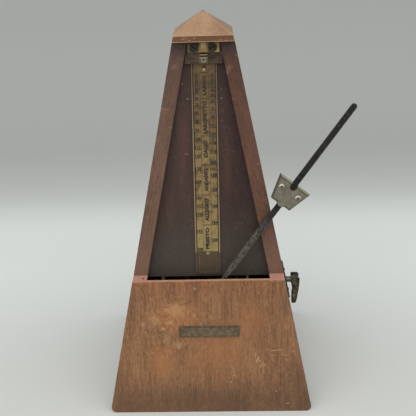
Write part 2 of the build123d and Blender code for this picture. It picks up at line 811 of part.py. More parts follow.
# ================================================================ movement frame
spring_start = drum_radius + 2 * spring_strip
spring_end = spring_start + (2 * spring_turns - 1) * spring_pitch / 2
loop_radius = pillar_radius + spring_strip / 2 + running
spring_exit = polar(winding_centre, spring_end + spring_pitch / 4, spring_end_angle)
tail_end = polar(spring_exit, spring_loop, spring_end_angle + 90)
loop_centre = polar(tail_end, loop_radius, spring_end_angle)
spring_pillar = side_plane(0).from_local_coords(loop_centre)
frame_top = pivot_height + frame_rise
pillars_at = [
    (spring_pillar.Y, spring_pillar.Z),
    (frame_front_y + front_pillar_back, frame_top - front_pillar_drop),
    (frame_front_y + low_pillar_inset, base_thickness + low_pillar_height),
    (frame_back_y - low_pillar_inset, base_thickness + low_pillar_height),
]

bridge_screws_at = [
    (crown_depth - bridge_screw_back, side * bridge_screw_spacing / 2) for side in (-1, 1)
]
rear_cock_screws_at = [(cock_front + rear_screw_back, rise) for rise in rear_screw_rises]
escape_cock_screws_at = [
    (crown_depth + side * escape_screw_spacing / 2, escape_screw_rise) for side in (-1, 1)
]


def frame_plate_shape(x):
    """One frame plate: upright front edge that turns back under the inner panel."""
    with BuildPart() as plate:
        with BuildSketch(Plane.YZ.offset(x)) as outline:
            with BuildLine():
                Polyline(
                    (frame_front_y, base_thickness),
                    (frame_back_y, base_thickness),
                    (frame_back_y, frame_top),
                    (frame_front_y + frame_shoulder_back, frame_top),
                    (frame_front_y, frame_top - frame_shoulder),
                    close=True,
                )
            make_face()
            fillet(outline.vertices().group_by(Axis.Z)[1:], frame_corner)
        extrude(amount=frame_plate)
        with BuildSketch(Plane.YZ.offset(x)):
            with Locations(*pillars_at):
                Circle(screw_radius)
        extrude(amount=frame_plate, mode=Mode.SUBTRACT)
        with BuildSketch(side_plane(x)):
            with Locations(second_centre):
                Circle(pivot_radius + running)
            with Locations(*bridge_screws_at):
                Circle(small_screw_radius)
        extrude(amount=frame_plate, mode=Mode.SUBTRACT)
    return plate.part


def frame_foot(x, width):
    """Foot bent out from a frame plate onto the base board."""
    with BuildPart() as foot:
        with BuildSketch(Plane.XY.offset(base_thickness)):
            with Locations((x + width / 2, frame_front_y)):
                Rectangle(abs(width), frame_length, align=(Align.CENTER, Align.MIN))
        extrude(amount=frame_plate)
        cut(drill(foot_seat, foot_screws_at, screw_radius, frame_plate))
    return foot.part


with BuildPart() as left_frame_plate:
    add(frame_plate_shape(plate_left_outer))
    add(frame_foot(plate_left_outer, -foot_length))
    with BuildSketch(side_plane(plate_left_outer)):
        with Locations(crown_centre):
            Circle(pivot_radius + running)
        with Locations(winding_centre):
            Circle(stem_radius + running)
        with Locations(*rear_cock_screws_at, *escape_cock_screws_at):
            Circle(small_screw_radius)
    extrude(amount=frame_plate, mode=Mode.SUBTRACT)
left_frame_plate.part.label = "left_frame_plate"
export_step(left_frame_plate.part, "parts/left_frame_plate.step")

with BuildPart() as right_frame_plate:
    add(frame_plate_shape(frame_right))
    add(frame_foot(plate_right_outer, foot_length))
    with BuildSketch(side_plane(frame_right)):
        with Locations(winding_centre):
            Circle(stem_radius + running)
    extrude(amount=frame_plate, mode=Mode.SUBTRACT)
right_frame_plate.part.label = "right_frame_plate"
export_step(right_frame_plate.part, "parts/right_frame_plate.step")

pillar_screw_length = frame_plate + screw_grip

with BuildPart() as frame_pillars:
    with BuildSketch(Plane.YZ.offset(frame_left)):
        with Locations(*pillars_at):
            Circle(pillar_radius)
    extrude(amount=frame_right - frame_left)
    for x, length in ((plate_left_outer, pillar_screw_length), (plate_right_outer, -pillar_screw_length)):
        cut(drill(Plane.YZ.offset(x), pillars_at, screw_radius, -length))
frame_pillars.part.label = "frame_pillars"
export_step(frame_pillars.part, "parts/frame_pillars.step")

with BuildPart() as pillar_screws:
    add(headed_pins(Plane.YZ.offset(plate_right_outer), pillars_at, screw_head, screw_head_height,
                    screw_radius, pillar_screw_length))
    add(headed_pins(Plane.YZ.offset(plate_left_outer), pillars_at, screw_head,
                    -screw_head_height, screw_radius, -pillar_screw_length))
pillar_screws.part.label = "pillar_screws"
export_step(pillar_screws.part, "parts/pillar_screws.step")

with BuildPart() as foot_screws:
    add(headed_pins(foot_seat, foot_screws_at, screw_head, screw_head_height, screw_radius,
                    foot_screw_length))
foot_screws.part.label = "foot_screws"
export_step(foot_screws.part, "parts/foot_screws.step")

bridge_reach = crown_depth - pivot_radius - bridge_clearance

with BuildPart() as front_bridge:
    with BuildSketch(face_plane(bridge_back)):
        bridge_span = plate_right_outer - plate_left_outer + 2 * bridge_sheet
        with Locations(((plate_left_outer + plate_right_outer) / 2, 0)):
            Rectangle(bridge_span, bridge_height)
        Circle(pivot_radius + running, mode=Mode.SUBTRACT)
    extrude(amount=bridge_sheet)
    for x in (plate_left_outer - bridge_sheet, plate_right_outer):
        with BuildSketch(side_plane(x)):
            with Locations((bridge_front, 0)):
                Rectangle(bridge_reach - bridge_front, bridge_height,
                          align=(Align.MIN, Align.CENTER))
        extrude(amount=bridge_sheet)
        with BuildSketch(side_plane(x)):
            with Locations(*bridge_screws_at):
                Circle(small_screw_radius)
        extrude(amount=bridge_sheet, mode=Mode.SUBTRACT)
front_bridge.part.label = "front_bridge"
export_step(front_bridge.part, "parts/front_bridge.step")

with BuildPart() as rear_cock:
    with BuildSketch(face_plane(cock_back)):
        with Locations((frame_left, 0)):
            Rectangle(pallet_reach - frame_left, rear_cock_height, align=(Align.MIN, Align.CENTER))
        Circle(pivot_radius + running, mode=Mode.SUBTRACT)
    extrude(amount=bridge_sheet)
    with BuildSketch(side_plane(frame_left)):
        with Locations((cock_front, winding_radius + endshake)):
            Rectangle(rear_foot_length, rear_foot_height, align=(Align.MIN, Align.MIN))
    extrude(amount=bridge_sheet)
    with BuildSketch(side_plane(frame_left)):
        with Locations(*rear_cock_screws_at):
            Circle(small_screw_radius)
    extrude(amount=bridge_sheet, mode=Mode.SUBTRACT)
rear_cock.part.label = "rear_cock"
export_step(rear_cock.part, "parts/rear_cock.step")

escape_leg_left = escape_cock_face - bridge_sheet

with BuildPart() as escape_cock:
    for x, length, low, high in (
        (escape_leg_left, bridge_sheet, -escape_cock_width / 2, escape_cock_top),
        (frame_left, escape_cock_face - frame_left, escape_cock_top - bridge_sheet, escape_cock_top),
        (frame_left, bridge_sheet, escape_foot_low, escape_cock_top),
    ):
        with BuildSketch(side_plane(x)):
            with Locations((crown_depth, low)):
                Rectangle(escape_cock_width, high - low, align=(Align.CENTER, Align.MIN))
        extrude(amount=length)
    with BuildSketch(side_plane(frame_left)):
        with Locations(*escape_cock_screws_at):
            Circle(small_screw_radius)
    extrude(amount=bridge_sheet, mode=Mode.SUBTRACT)
    with BuildSketch(side_plane(escape_leg_left)):
        with Locations(crown_centre):
            Circle(pivot_radius + running)
    extrude(amount=bridge_sheet, mode=Mode.SUBTRACT)
escape_cock.part.label = "escape_cock"
export_step(escape_cock.part, "parts/escape_cock.step")

with BuildPart() as bracket_screws:
    add(headed_pins(side_plane(plate_left_outer - bridge_sheet), bridge_screws_at,
                    small_screw_head, -small_screw_height, small_screw_radius,
                    -bridge_sheet - frame_plate))
    add(headed_pins(side_plane(plate_right_outer + bridge_sheet), bridge_screws_at,
                    small_screw_head, small_screw_height, small_screw_radius,
                    bridge_sheet + frame_plate))
    add(headed_pins(side_plane(plate_left_outer), [*rear_cock_screws_at, *escape_cock_screws_at],
                    small_screw_head, -small_screw_height, small_screw_radius,
                    -bridge_sheet - frame_plate))
bracket_screws.part.label = "bracket_screws"
export_step(bracket_screws.part, "parts/bracket_screws.step")

# ================================================================ winding arbor and great wheel
great_right = great_left + wheel_thickness
ratchet_left = great_right + endshake
ratchet_right = ratchet_left + ratchet_thickness
spring_right = spring_left + spring_height
second_pinion_left = spring_right + endshake
hub_end = hub_start + key_hub_length

with BuildPart() as winding_arbor:
    add(turned(winding_centre, (
        (plate_left_outer - pivot_tail, frame_left + endshake, stem_radius),
        (frame_left + endshake, spring_left, winding_radius),
        (spring_left, spring_right, drum_radius),
        (spring_right, frame_right - endshake, winding_radius),
        (frame_right - endshake, hub_start, stem_radius),
        (hub_start, hub_end - endshake, key_tang_radius),
    )))
winding_arbor.part.label = "winding_arbor"
export_step(winding_arbor.part, "parts/winding_arbor.step")

with BuildPart() as mainspring:
    with BuildLine(side_plane(spring_left + spring_height / 2)) as coil:
        for half in range(2 * spring_turns):
            swing = 0 if half % 2 else 180
            middle = polar(winding_centre, spring_pitch / 4, spring_end_angle + swing)
            CenterArc(middle, spring_start + half * spring_pitch / 2,
                      spring_end_angle + 180 * (half % 2), 180)
        Line(spring_exit, tail_end)
        CenterArc(loop_centre, loop_radius, spring_end_angle + 180, -270)
    with BuildSketch(Plane(origin=coil.line @ 0, x_dir=(1, 0, 0), z_dir=coil.line % 0)):
        Rectangle(spring_height, spring_strip)
    sweep(path=coil.line)
mainspring.part.label = "mainspring"
export_step(mainspring.part, "parts/mainspring.step")

click_centre = polar(winding_centre, click_pivot, click_angle)
ratchet_clear = ratchet_radius + click_gap
nose_angle = click_angle + click_nose_swing
nose_tip = polar(winding_centre, ratchet_clear, nose_angle)
nose_back = polar(winding_centre, ratchet_clear + click_nose_rise, nose_angle + click_nose_slant)
spring_foot = polar(winding_centre, spring_foot_ring, click_angle + spring_foot_swing)
blade_angle = click_angle + blade_side

with BuildPart() as great_wheel:
    with BuildSketch(side_plane(great_left)):
        with Locations(winding_centre):
            Polygon(*gear_outline(great_module, great_teeth, 3), align=None,
                    rotation=angle_to(winding_centre, second_centre))
            Circle(winding_radius + running, mode=Mode.SUBTRACT)
        with Locations(winding_centre):
            with PolarLocations(window_ring, 5, start_angle=click_angle + 60, angular_range=300):
                Circle(window_radius, mode=Mode.SUBTRACT)
        with Locations(click_centre):
            Circle(pivot_radius, mode=Mode.SUBTRACT)
        with Locations(spring_foot):
            Circle(pin_radius, mode=Mode.SUBTRACT)
    extrude(amount=wheel_thickness)
great_wheel.part.label = "great_wheel"
export_step(great_wheel.part, "parts/great_wheel.step")

with BuildPart() as ratchet_wheel:
    with BuildSketch(side_plane(ratchet_left)):
        with BuildLine():
            corners = []
            for tooth in range(ratchet_teeth):
                step = 360 / ratchet_teeth
                corners.append(polar(winding_centre, ratchet_radius, tooth * step))
                corners.append(polar(winding_centre, ratchet_radius - ratchet_tooth, tooth * step + 1))
            Polyline(*corners, close=True)
        make_face()
        with Locations(winding_centre):
            Circle(winding_radius, mode=Mode.SUBTRACT)
    extrude(amount=ratchet_right - ratchet_left)
ratchet_wheel.part.label = "ratchet_wheel"
export_step(ratchet_wheel.part, "parts/ratchet_wheel.step")

with BuildPart() as click:
    with BuildSketch(side_plane(ratchet_left)):
        with BuildLine():
            Polyline(
                nose_tip,
                polar(click_centre, click_eye, click_angle + 170),
                polar(click_centre, click_eye, blade_angle),
                nose_back,
                close=True,
            )
        make_face()
        with Locations(click_centre):
            Circle(click_eye)
            Circle(pivot_radius + running, mode=Mode.SUBTRACT)
    extrude(amount=ratchet_right - ratchet_left)
click.part.label = "click"
export_step(click.part, "parts/click.step")

with BuildPart() as click_stud:
    with BuildSketch(side_plane(great_left)):
        with Locations(click_centre):
            Circle(pivot_radius)
    extrude(amount=ratchet_right + endshake - great_left)
    with BuildSketch(side_plane(ratchet_right + endshake)):
        with Locations(click_centre):
            Circle(click_eye)
    extrude(amount=pin_head)
click_stud.part.label = "click_stud"
export_step(click_stud.part, "parts/click_stud.step")

with BuildPart() as click_spring:
    blade_high = polar(click_centre, click_eye + blade_gap, blade_angle)
    blade_low = polar(nose_back, blade_gap, blade_angle)
    with BuildSketch(side_plane(great_right)):
        with BuildLine():
            Polyline(spring_foot, blade_high, blade_low,
                     polar(blade_low, spring_strip, blade_angle),
                     polar(blade_high, spring_strip, blade_angle), close=True)
        make_face()
        with Locations(spring_foot):
            Circle(spring_foot_radius)
    extrude(amount=blade_width)
    with BuildSketch(side_plane(great_left)):
        with Locations(spring_foot):
            Circle(pin_radius)
    extrude(amount=wheel_thickness)
click_spring.part.label = "click_spring"
export_step(click_spring.part, "parts/click_spring.step")

# ================================================================ train to the crown wheel
half_pinion_pitch = 180 / pinion_teeth
second_right = second_left + second_thickness

with BuildPart() as second_arbor:
    add(turned(second_centre, (
        (plate_left_outer - pivot_tail, frame_left + endshake, pivot_radius),
        (frame_left + endshake, frame_right - endshake, arbor_radius),
        (frame_right - endshake, plate_right_outer + pivot_tail, pivot_radius),
    )))
    with BuildSketch(side_plane(second_pinion_left)):
        with Locations(second_centre):
            Polygon(*gear_outline(great_module, pinion_teeth, 4), align=None,
                    rotation=angle_to(second_centre, winding_centre) + half_pinion_pitch)
    extrude(amount=great_right + endshake - second_pinion_left)
second_arbor.part.label = "second_arbor"
export_step(second_arbor.part, "parts/second_arbor.step")

with BuildPart() as second_wheel:
    with BuildSketch(side_plane(second_left)):
        with Locations(second_centre):
            Polygon(*gear_outline(second_module, second_teeth, 3), align=None,
                    rotation=angle_to(second_centre, crown_centre))
            with PolarLocations(second_window_ring, 4, start_angle=45):
                Circle(second_window_radius, mode=Mode.SUBTRACT)
    extrude(amount=second_right - second_left)
    with BuildSketch(side_plane(second_left)):
        with Locations(second_centre):
            Circle(2 * arbor_radius)
    extrude(amount=2 * second_thickness)
    with BuildSketch(side_plane(second_left)):
        with Locations(second_centre):
            Circle(arbor_radius)
    extrude(amount=2 * second_thickness, mode=Mode.SUBTRACT)
second_wheel.part.label = "second_wheel"
export_step(second_wheel.part, "parts/second_wheel.step")

crown_back = crown_tips - crown_cup

with BuildPart() as crown_arbor:
    add(turned(crown_centre, (
        (plate_left_outer - pivot_tail, frame_left + endshake, pivot_radius),
        (frame_left + endshake, escape_leg_left - endshake, arbor_radius),
        (escape_leg_left - endshake, crown_back + crown_web, pivot_radius),
    )))
    with BuildSketch(side_plane(second_left - pinion_margin)):
        with Locations(crown_centre):
            Polygon(*gear_outline(second_module, pinion_teeth, 4), align=None,
                    rotation=angle_to(crown_centre, second_centre) + half_pinion_pitch)
    extrude(amount=second_thickness + 2 * pinion_margin)
crown_arbor.part.label = "crown_arbor"
export_step(crown_arbor.part, "parts/crown_arbor.step")

with BuildPart() as crown_wheel:
    with BuildSketch(side_plane(crown_back)):
        with Locations(crown_centre):
            Circle(crown_radius)
            with PolarLocations(crown_window_ring, 4):
                Circle(crown_window_radius, mode=Mode.SUBTRACT)
    extrude(amount=crown_web)
    with BuildSketch(side_plane(crown_back)):
        with Locations(crown_centre):
            Circle(crown_radius)
            Circle(crown_radius - crown_wall, mode=Mode.SUBTRACT)
    extrude(amount=crown_tips - crown_back)
    with BuildSketch(side_plane(escape_cock_face + endshake)):
        with Locations(crown_centre):
            Circle(2 * pivot_radius)
    extrude(amount=crown_back + crown_web - escape_cock_face - endshake)
    with BuildSketch(side_plane(escape_cock_face)):
        with Locations(crown_centre):
            Circle(pivot_radius)
    extrude(amount=crown_tips - escape_cock_face, mode=Mode.SUBTRACT)
    gullet = 2 * pi * crown_radius / crown_teeth - crown_wall / 2
    for tooth in range(crown_teeth):
        turn = 360 * tooth / crown_teeth
        centre = side_plane(crown_tips).from_local_coords(crown_centre)
        heading = side_plane(0).from_local_coords(polar((0, 0), 1, turn)) - side_plane(0).origin
        with BuildSketch(Plane(origin=centre, x_dir=(1, 0, 0), z_dir=heading)):
            with BuildLine():
                Polyline((0, -gullet / 2), (-crown_tooth, -gullet / 2), (0, gullet / 2), close=True)
            make_face()
        extrude(amount=crown_radius + crown_wall, mode=Mode.SUBTRACT)
crown_wheel.part.label = "crown_wheel"
export_step(crown_wheel.part, "parts/crown_wheel.step")

# ================================================================ folding key
key_axis = Vector(hub_start + key_pin_along, winding_axis.Y, winding_axis.Z + key_pin_rise)
cheek_inner = key_hub_radius + cheek_gap
cheek_outer = cheek_inner + cheek_thickness
pin_plane = Plane(origin=key_axis, x_dir=(1, 0, 0), z_dir=(0, -1, 0))

with BuildPart() as key_pin:
    with BuildSketch(pin_plane):
        Circle(key_pin_radius)
    extrude(amount=cheek_outer, both=True)
key_pin.part.label = "key_pin"
export_step(key_pin.part, "parts/key_pin.step")

with BuildPart() as key_hub:
    with BuildSketch(side_plane(hub_start)):
        with Locations(winding_centre):
            Circle(key_hub_radius)
    extrude(amount=key_hub_length)
    cut(winding_arbor.part)
    cut(key_pin.part)
key_hub.part.label = "key_hub"
export_step(key_hub.part, "parts/key_hub.step")

bow_end = bow_drop + bow_radius
hub_reach = hypot(key_pin_along, key_hub_radius + key_pin_rise) + bow_clearance
front_view = Plane(origin=(hub_start, winding_axis.Y, winding_axis.Z), x_dir=(1, 0, 0), z_dir=(0, -1, 0))
side_view = Plane(origin=(hub_start, winding_axis.Y, winding_axis.Z), x_dir=(0, 1, 0), z_dir=(1, 0, 0))

with BuildPart() as key_bow:
    with BuildSketch(front_view):
        with BuildLine():
            Polyline(
                (bow_bulge, cheek_top - bow_corner),
                (bow_bulge - bow_corner, cheek_top),
                (0, cheek_top),
                (0, -cheek_top),
                (bow_neck, -cheek_top - bow_neck),
                (bow_stand_off, -bow_end),
                (bow_stand_off + bow_tip_thickness, -bow_end),
            )
            ThreePointArc(
                (bow_stand_off + bow_tip_thickness, -bow_end),
                (bow_bulge - bow_waist, -bow_waist_drop),
                (bow_bulge, cheek_top - bow_corner),
            )
        make_face()
    extrude(amount=bow_radius, both=True)
    with BuildSketch(side_view):
        with Locations((0, -bow_drop)):
            Circle(bow_radius)
            Rectangle(2 * cheek_outer, bow_drop + cheek_top, align=(Align.CENTER, Align.MIN))
    extrude(amount=bow_bulge + soft_edge, mode=Mode.INTERSECT)
    with BuildSketch(pin_plane):
        Circle(hub_reach)
    extrude(amount=cheek_inner, both=True, mode=Mode.SUBTRACT)
    with BuildSketch(pin_plane):
        Circle(key_pin_radius + running)
    extrude(amount=bow_radius, both=True, mode=Mode.SUBTRACT)
key_bow.part.label = "key_bow"
export_step(key_bow.part, "parts/key_bow.step")
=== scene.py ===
import json
from math import pi, radians

import bmesh
import bpy
from bpy.props import FloatProperty, FloatVectorProperty, PointerProperty
from mathutils import Matrix, Vector


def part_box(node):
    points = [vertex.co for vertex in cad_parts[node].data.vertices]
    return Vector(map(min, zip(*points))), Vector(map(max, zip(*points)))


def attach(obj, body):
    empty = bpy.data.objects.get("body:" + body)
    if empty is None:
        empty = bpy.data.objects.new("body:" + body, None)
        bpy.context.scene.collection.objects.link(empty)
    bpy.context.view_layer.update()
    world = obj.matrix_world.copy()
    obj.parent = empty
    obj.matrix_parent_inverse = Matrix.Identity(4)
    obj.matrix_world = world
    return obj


bl_info = {
    "name": "Pyramid metronome",
    "version": (1, 0, 0),
    "blender": (4, 5, 0),
    "location": "3D View > Sidebar > Metronome",
    "description": "Gives a wooden pyramid metronome its finishes, its tempo scale and a plain studio",
    "category": "Object",
}

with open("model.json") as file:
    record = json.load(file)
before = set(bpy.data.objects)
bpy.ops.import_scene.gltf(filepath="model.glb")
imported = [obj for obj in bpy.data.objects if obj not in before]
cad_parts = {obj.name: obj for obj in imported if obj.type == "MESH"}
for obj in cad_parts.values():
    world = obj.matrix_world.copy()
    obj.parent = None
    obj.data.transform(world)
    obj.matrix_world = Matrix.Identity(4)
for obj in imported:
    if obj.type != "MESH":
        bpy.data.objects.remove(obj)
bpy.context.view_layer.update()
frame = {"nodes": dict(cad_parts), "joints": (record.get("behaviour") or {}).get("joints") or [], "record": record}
parts = frame["nodes"]
record = frame["record"]

MM = 0.001
ORIGIN = (0.0, 0.0, 0.0)
BLACK = (0.0, 0.0, 0.0, 1.0)
swing = next(j for j in frame["joints"] if j["name"] == "pendulum_swing")
slide = next(j for j in frame["joints"] if j["name"] == "weight_slide")

# The front face leans back. The pendulum's axis stands square to it, and its position lies on it.
axis_on_face = Vector(swing["pos_m"])
out = Vector(swing["axis"]).normalized()
across = Vector((1, 0, 0))
uphill = out.cross(across)
slope = uphill.y / uphill.z
rod_way = Vector(slide["axis"]).normalized()
beside_rod = rod_way.cross(out)

# About how far some pieces lie behind the front face, in metres.
ROD_DEPTH = 0.005
BRACKET_DEPTH = 0.009
PIN_DEPTH = 0.012
PLATE_DEPTH = 0.0122


def on_face(x, up, depth):
    """A point x across, up above the pendulum's axis along the face, and depth behind it, in metres."""
    return axis_on_face + across * x + uphill * up - out * depth


def face_place(x, up, depth, turn=0.0):
    """The place of a flat piece that lies on a plane behind the front face, turned anticlockwise by turn."""
    axes = Matrix((across, uphill, out)).transposed().to_4x4()
    return Matrix.Translation(on_face(x, up, depth)) @ axes @ Matrix.Rotation(turn, 4, "Z")


def depth_of(node):
    """How far the foremost point of a node lies behind the front face."""
    return -max((v.co - axis_on_face).dot(out) for v in parts[node].data.vertices)


def height_up_face(node, highest):
    """The lowest or highest point of a node, above the pendulum's axis along the face."""
    rises = [(v.co - axis_on_face).dot(uphill) for v in parts[node].data.vertices]
    return max(rises) if highest else min(rises)


# --- Colours and lengths a user may change -------------------------------------------------


def shade(red, green, blue):
    """A colour as it looks on a screen, 0 to 255, in the linear values that a material takes."""
    def linear(value):
        value /= 255
        return value / 12.92 if value <= 0.04045 else ((value + 0.055) / 1.055) ** 2.4

    return linear(red), linear(green), linear(blue)


def tint(name, description, *screen):
    return FloatVectorProperty(
        name=name, description=description, subtype="COLOR", size=3, min=0, max=1, default=shade(*screen)
    )


def amount(name, description, value, least=0, **kind):
    return FloatProperty(name=name, description=description, min=least, default=value, **kind)


def span(name, description, millimetres):
    return amount(name, description, millimetres * MM, subtype="DISTANCE", unit="LENGTH")


class WoodFinish(bpy.types.PropertyGroup):
    """Colours of the case's woods."""

    front_light: tint("Front, light", "Light streaks of the front panel", 156, 112, 76)
    front_dark: tint("Front, dark", "Dark streaks of the front panel", 106, 73, 50)
    front_pores: tint("Front, pores", "Open pores of the front panel", 78, 52, 36)
    front_worn: tint("Front, worn", "Rubbed spots of the front panel", 168, 130, 92)
    front_scratch: tint("Front, scratches", "Bare wood in the scratches of the front panel", 186, 152, 118)
    front_orange: tint("Front, orange", "Thin varnish on the front panel", 166, 110, 66)
    # Grime is also laid on the front panel as painted shade towards the floor.
    grime: tint("Grime", "Old dirt on the lower edge and the corners of the boards", 85, 64, 47)
    bare: tint("Bare ledge", "Bare wood at both ends of the front panel's top", 190, 140, 120)
    # The lip colour is partly rubbed wood and partly a painted highlight on the top faces.
    lip: tint("Lip", "Rubbed lip along the front panel's top", 204, 154, 124)
    side_light: tint("Sides, light", "Light streaks of the sides and back", 121, 91, 74)
    side_dark: tint("Sides, dark", "Dark streaks of the sides and back", 84, 62, 50)
    # This colour is the painted shadow of the cap on the sides.
    side_stain: tint("Sides, stain", "Stain on the sides under the cap", 64, 51, 48)
    bay_light: tint("Bay, light", "Light streaks of the inner panel", 79, 60, 54)
    bay_dark: tint("Bay, dark", "Dark streaks of the inner panel", 54, 41, 36)
    cap_light: tint("Cap, light", "Light streaks of the cap", 186, 150, 117)
    cap_dark: tint("Cap, dark", "Dark streaks of the cap", 154, 119, 91)
    cap_edge: tint("Cap, edge", "Varnish left on the cap's edge", 114, 77, 46)
    cap_arris: tint("Cap, eave", "Bare wood along the cap's eave", 218, 180, 146)
    base_light: tint("Base, light", "Light streaks of the base board and blocks", 150, 122, 90)
    base_dark: tint("Base, dark", "Dark streaks of the base board and blocks", 114, 88, 62)
    edge_width: span("Edge wear", "How far the rubbed edges reach into the boards", 0.9)
    fibre: span("Fibre", "Width of one streak of the grain", 0.95)


class MetalFinish(bpy.types.PropertyGroup):
    """Colours of the metals."""

    scale_clean: tint("Scale, clean", "Clean brass of the tempo scale", 148, 125, 83)
    scale_dull: tint("Scale, dull", "Dulled brass of the tempo scale", 95, 75, 52)
    # The rim colour is a painted highlight along the scale's rims.
    scale_rim: tint("Scale, rims", "Rubbed rims of the tempo scale", 158, 142, 108)
    scale_panel: tint("Scale, foot", "Dark bronze foot of the tempo scale", 74, 62, 54)
    catch_clean: tint("Catch, clean", "Clean brass of the catch bracket", 166, 136, 88)
    catch_dull: tint("Catch, dull", "Dulled brass of the catch bracket", 96, 80, 58)
    catch_pale: tint("Catch, tongue", "Rubbed brass of the catch tongue", 172, 156, 120)
    crossbar_clean: tint("Crossbar, clean", "Clean brass of the catch crossbar", 82, 67, 53)
    crossbar_dull: tint("Crossbar, dull", "Dulled brass of the catch crossbar", 60, 47, 38)
    plate_clean: tint("Front plate, clean", "Clean brass of the front plate", 116, 101, 77)
    plate_dull: tint("Front plate, dull", "Dulled brass of the front plate", 94, 80, 60)
    pin: tint("Pins", "Brass of the pins", 160, 142, 102)
    escutcheon: tint("Escutcheon", "Brass round the winding arbor", 84, 68, 54)
    nickel_clean: tint("Weight, clean", "Nickel of the sliding weight", 126, 121, 106)
    nickel_dull: tint("Weight, dull", "Dulled nickel of the sliding weight", 108, 103, 89)
    # The weight's top colour is a painted highlight on its upper bevel.
    nickel_light: tint("Weight, top", "Rubbed nickel of the weight's upper bevel", 158, 155, 137)
    # The rivet colour is a painted highlight: a bright crescent at the top of each head.
    rivet: tint("Rivets", "Bright crescents on the heads of the weight's rivets", 232, 222, 196)
    nickel_edge: tint("Weight, edges", "Brass showing through at the weight's edges", 88, 76, 58)
    rod: tint("Rod", "Dark steel of the pendulum rod", 36, 35, 34)
    rod_dust: tint("Rod, dust", "Dust on the lower part of the rod", 116, 110, 101)
    key_clean: tint("Key, clean", "Steel of the winding key", 110, 102, 88)
    key_dull: tint("Key, dull", "Dulled steel of the winding key", 66, 60, 51)
    blued: tint("Blued screws", "Dark screws of the case and catch", 58, 55, 48)
    steel: tint("Steel", "Steel of the movement", 104, 101, 94)
    plate_steel: tint("Frame steel", "Plated steel of the movement's frame", 88, 82, 70)
    movement_brass: tint("Movement brass", "Brass of the wheels and bridges", 116, 94, 56)
    spring: tint("Spring steel", "Tempered steel of the springs", 56, 57, 62)
    iron: tint("Bob", "Grey cast iron of the bob", 88, 86, 82)


class ScaleMarks(bpy.types.PropertyGroup):
    """Sizes and colour of what is printed on the tempo scale."""

    ink: tint("Ink", "Black wax in the figures and lines", 22, 17, 12)
    figure_height: span("Figures", "Height of the tempo figures", 1.8)
    word_height: span("Words", "Height of the tempo words' capitals", 2.3)
    tick_length: span("Ticks", "Length of the tick lines", 3.4)
    line_width: span("Lines", "Width of the lines", 0.36)
    thickness: span("Thickness", "How far the ink stands off the brass", 0.04)


class Studio(bpy.types.PropertyGroup):
    """The stage, its lamps and the camera."""

    floor: tint("Floor", "Colour of the floor in front", 217, 219, 215)
    far_floor: tint("Far floor", "Colour of the floor behind", 232, 237, 234)
    wall: tint("Wall", "Colour of the backdrop", 172, 174, 171)
    key_power: amount("Main lamp", "Power of the main lamp", 6.4, unit="POWER")
    fill_power: amount("Second lamp", "Power of the weaker lamp", 4.6, unit="POWER")
    sky: amount("Sky", "Even light from all round", 0.7)
    lens: amount("Lens", "Focal length of the camera in millimetres", 64.1, least=1)


# --- Building materials --------------------------------------------------------------------


def feed(socket, value):
    """Sets a socket to a value, or links the output that feeds it."""
    if isinstance(value, bpy.types.NodeSocket):
        socket.id_data.links.new(value, socket)
    elif socket.type == "RGBA" and len(value) == 3:
        socket.default_value = (*value, 1)
    else:
        socket.default_value = value


def put(tree, kind, sockets=None, **settings):
    """A new node with its settings and with its sockets fed."""
    node = tree.nodes.new(kind)
    for name, value in settings.items():
        setattr(node, name, value)
    for name, value in (sockets or {}).items():
        feed(node.inputs[name], value)
    return node


def tree_of(*values):
    """The node tree of the first value that is the output of a node."""
    return next(value.id_data for value in values if isinstance(value, bpy.types.NodeSocket))


def sum_up(operation, *values, clamp=False):
    """One step of arithmetic on numbers."""
    sockets = dict(enumerate(values))
    node = put(tree_of(*values), "ShaderNodeMath", sockets, operation=operation, use_clamp=clamp)
    return node.outputs[0]


def plus(first, second, clamp=False):
    return sum_up("ADD", first, second, clamp=clamp)


def minus(first, second, clamp=False):
    return sum_up("SUBTRACT", first, second, clamp=clamp)


def times(first, second, clamp=False):
    return sum_up("MULTIPLY", first, second, clamp=clamp)


def unsigned(value):
    return sum_up("ABSOLUTE", value)


def steer(operation, *values):
    """One step of arithmetic on vectors."""
    node = put(tree_of(*values), "ShaderNodeVectorMath", dict(enumerate(values)), operation=operation)
    return node.outputs["Value" if operation in ("DOT_PRODUCT", "LENGTH") else "Vector"]


def drawn_out(place, share):
    """Places with their Z made smaller, so that a pattern on them is drawn out along Z."""
    return steer("MULTIPLY", place, (1.0, 1.0, share))


def ramp(value, low, high, start=0.0, end=1.0):
    """A number that goes smoothly from start to end as value goes from low to high."""
    sockets = {"Value": value, "From Min": low, "From Max": high, "To Min": start, "To Max": end}
    node = put(tree_of(value), "ShaderNodeMapRange", sockets, interpolation_type="SMOOTHSTEP")
    return node.outputs["Result"]


def fade(value, low, high, start=0.0, end=1.0):
    """A ramp between two lengths in millimetres."""
    return ramp(value, low * MM, high * MM, start, end)


def noise(place, scale, detail=2.0, roughness=0.5, distortion=0.0):
    """Noise between 0 and 1, with about as many clouds to a metre as its scale says."""
    sockets = {
        "Vector": place, "Scale": scale, "Detail": detail, "Roughness": roughness, "Distortion": distortion,
    }
    return put(tree_of(place), "ShaderNodeTexNoise", sockets).outputs[0]


def mix(factor, under, over, how="MIX"):
    """One colour laid over another."""
    sockets = {0: factor, 6: under, 7: over}
    return put(tree_of(factor), "ShaderNodeMix", sockets, data_type="RGBA", blend_type=how).outputs[2]


def upward(tree):
    """How far up each point of the surface looks, from -1 to 1."""
    normal = put(tree, "ShaderNodeNewGeometry").outputs["Normal"]
    return put(tree, "ShaderNodeSeparateXYZ", {"Vector": normal}).outputs["Z"]


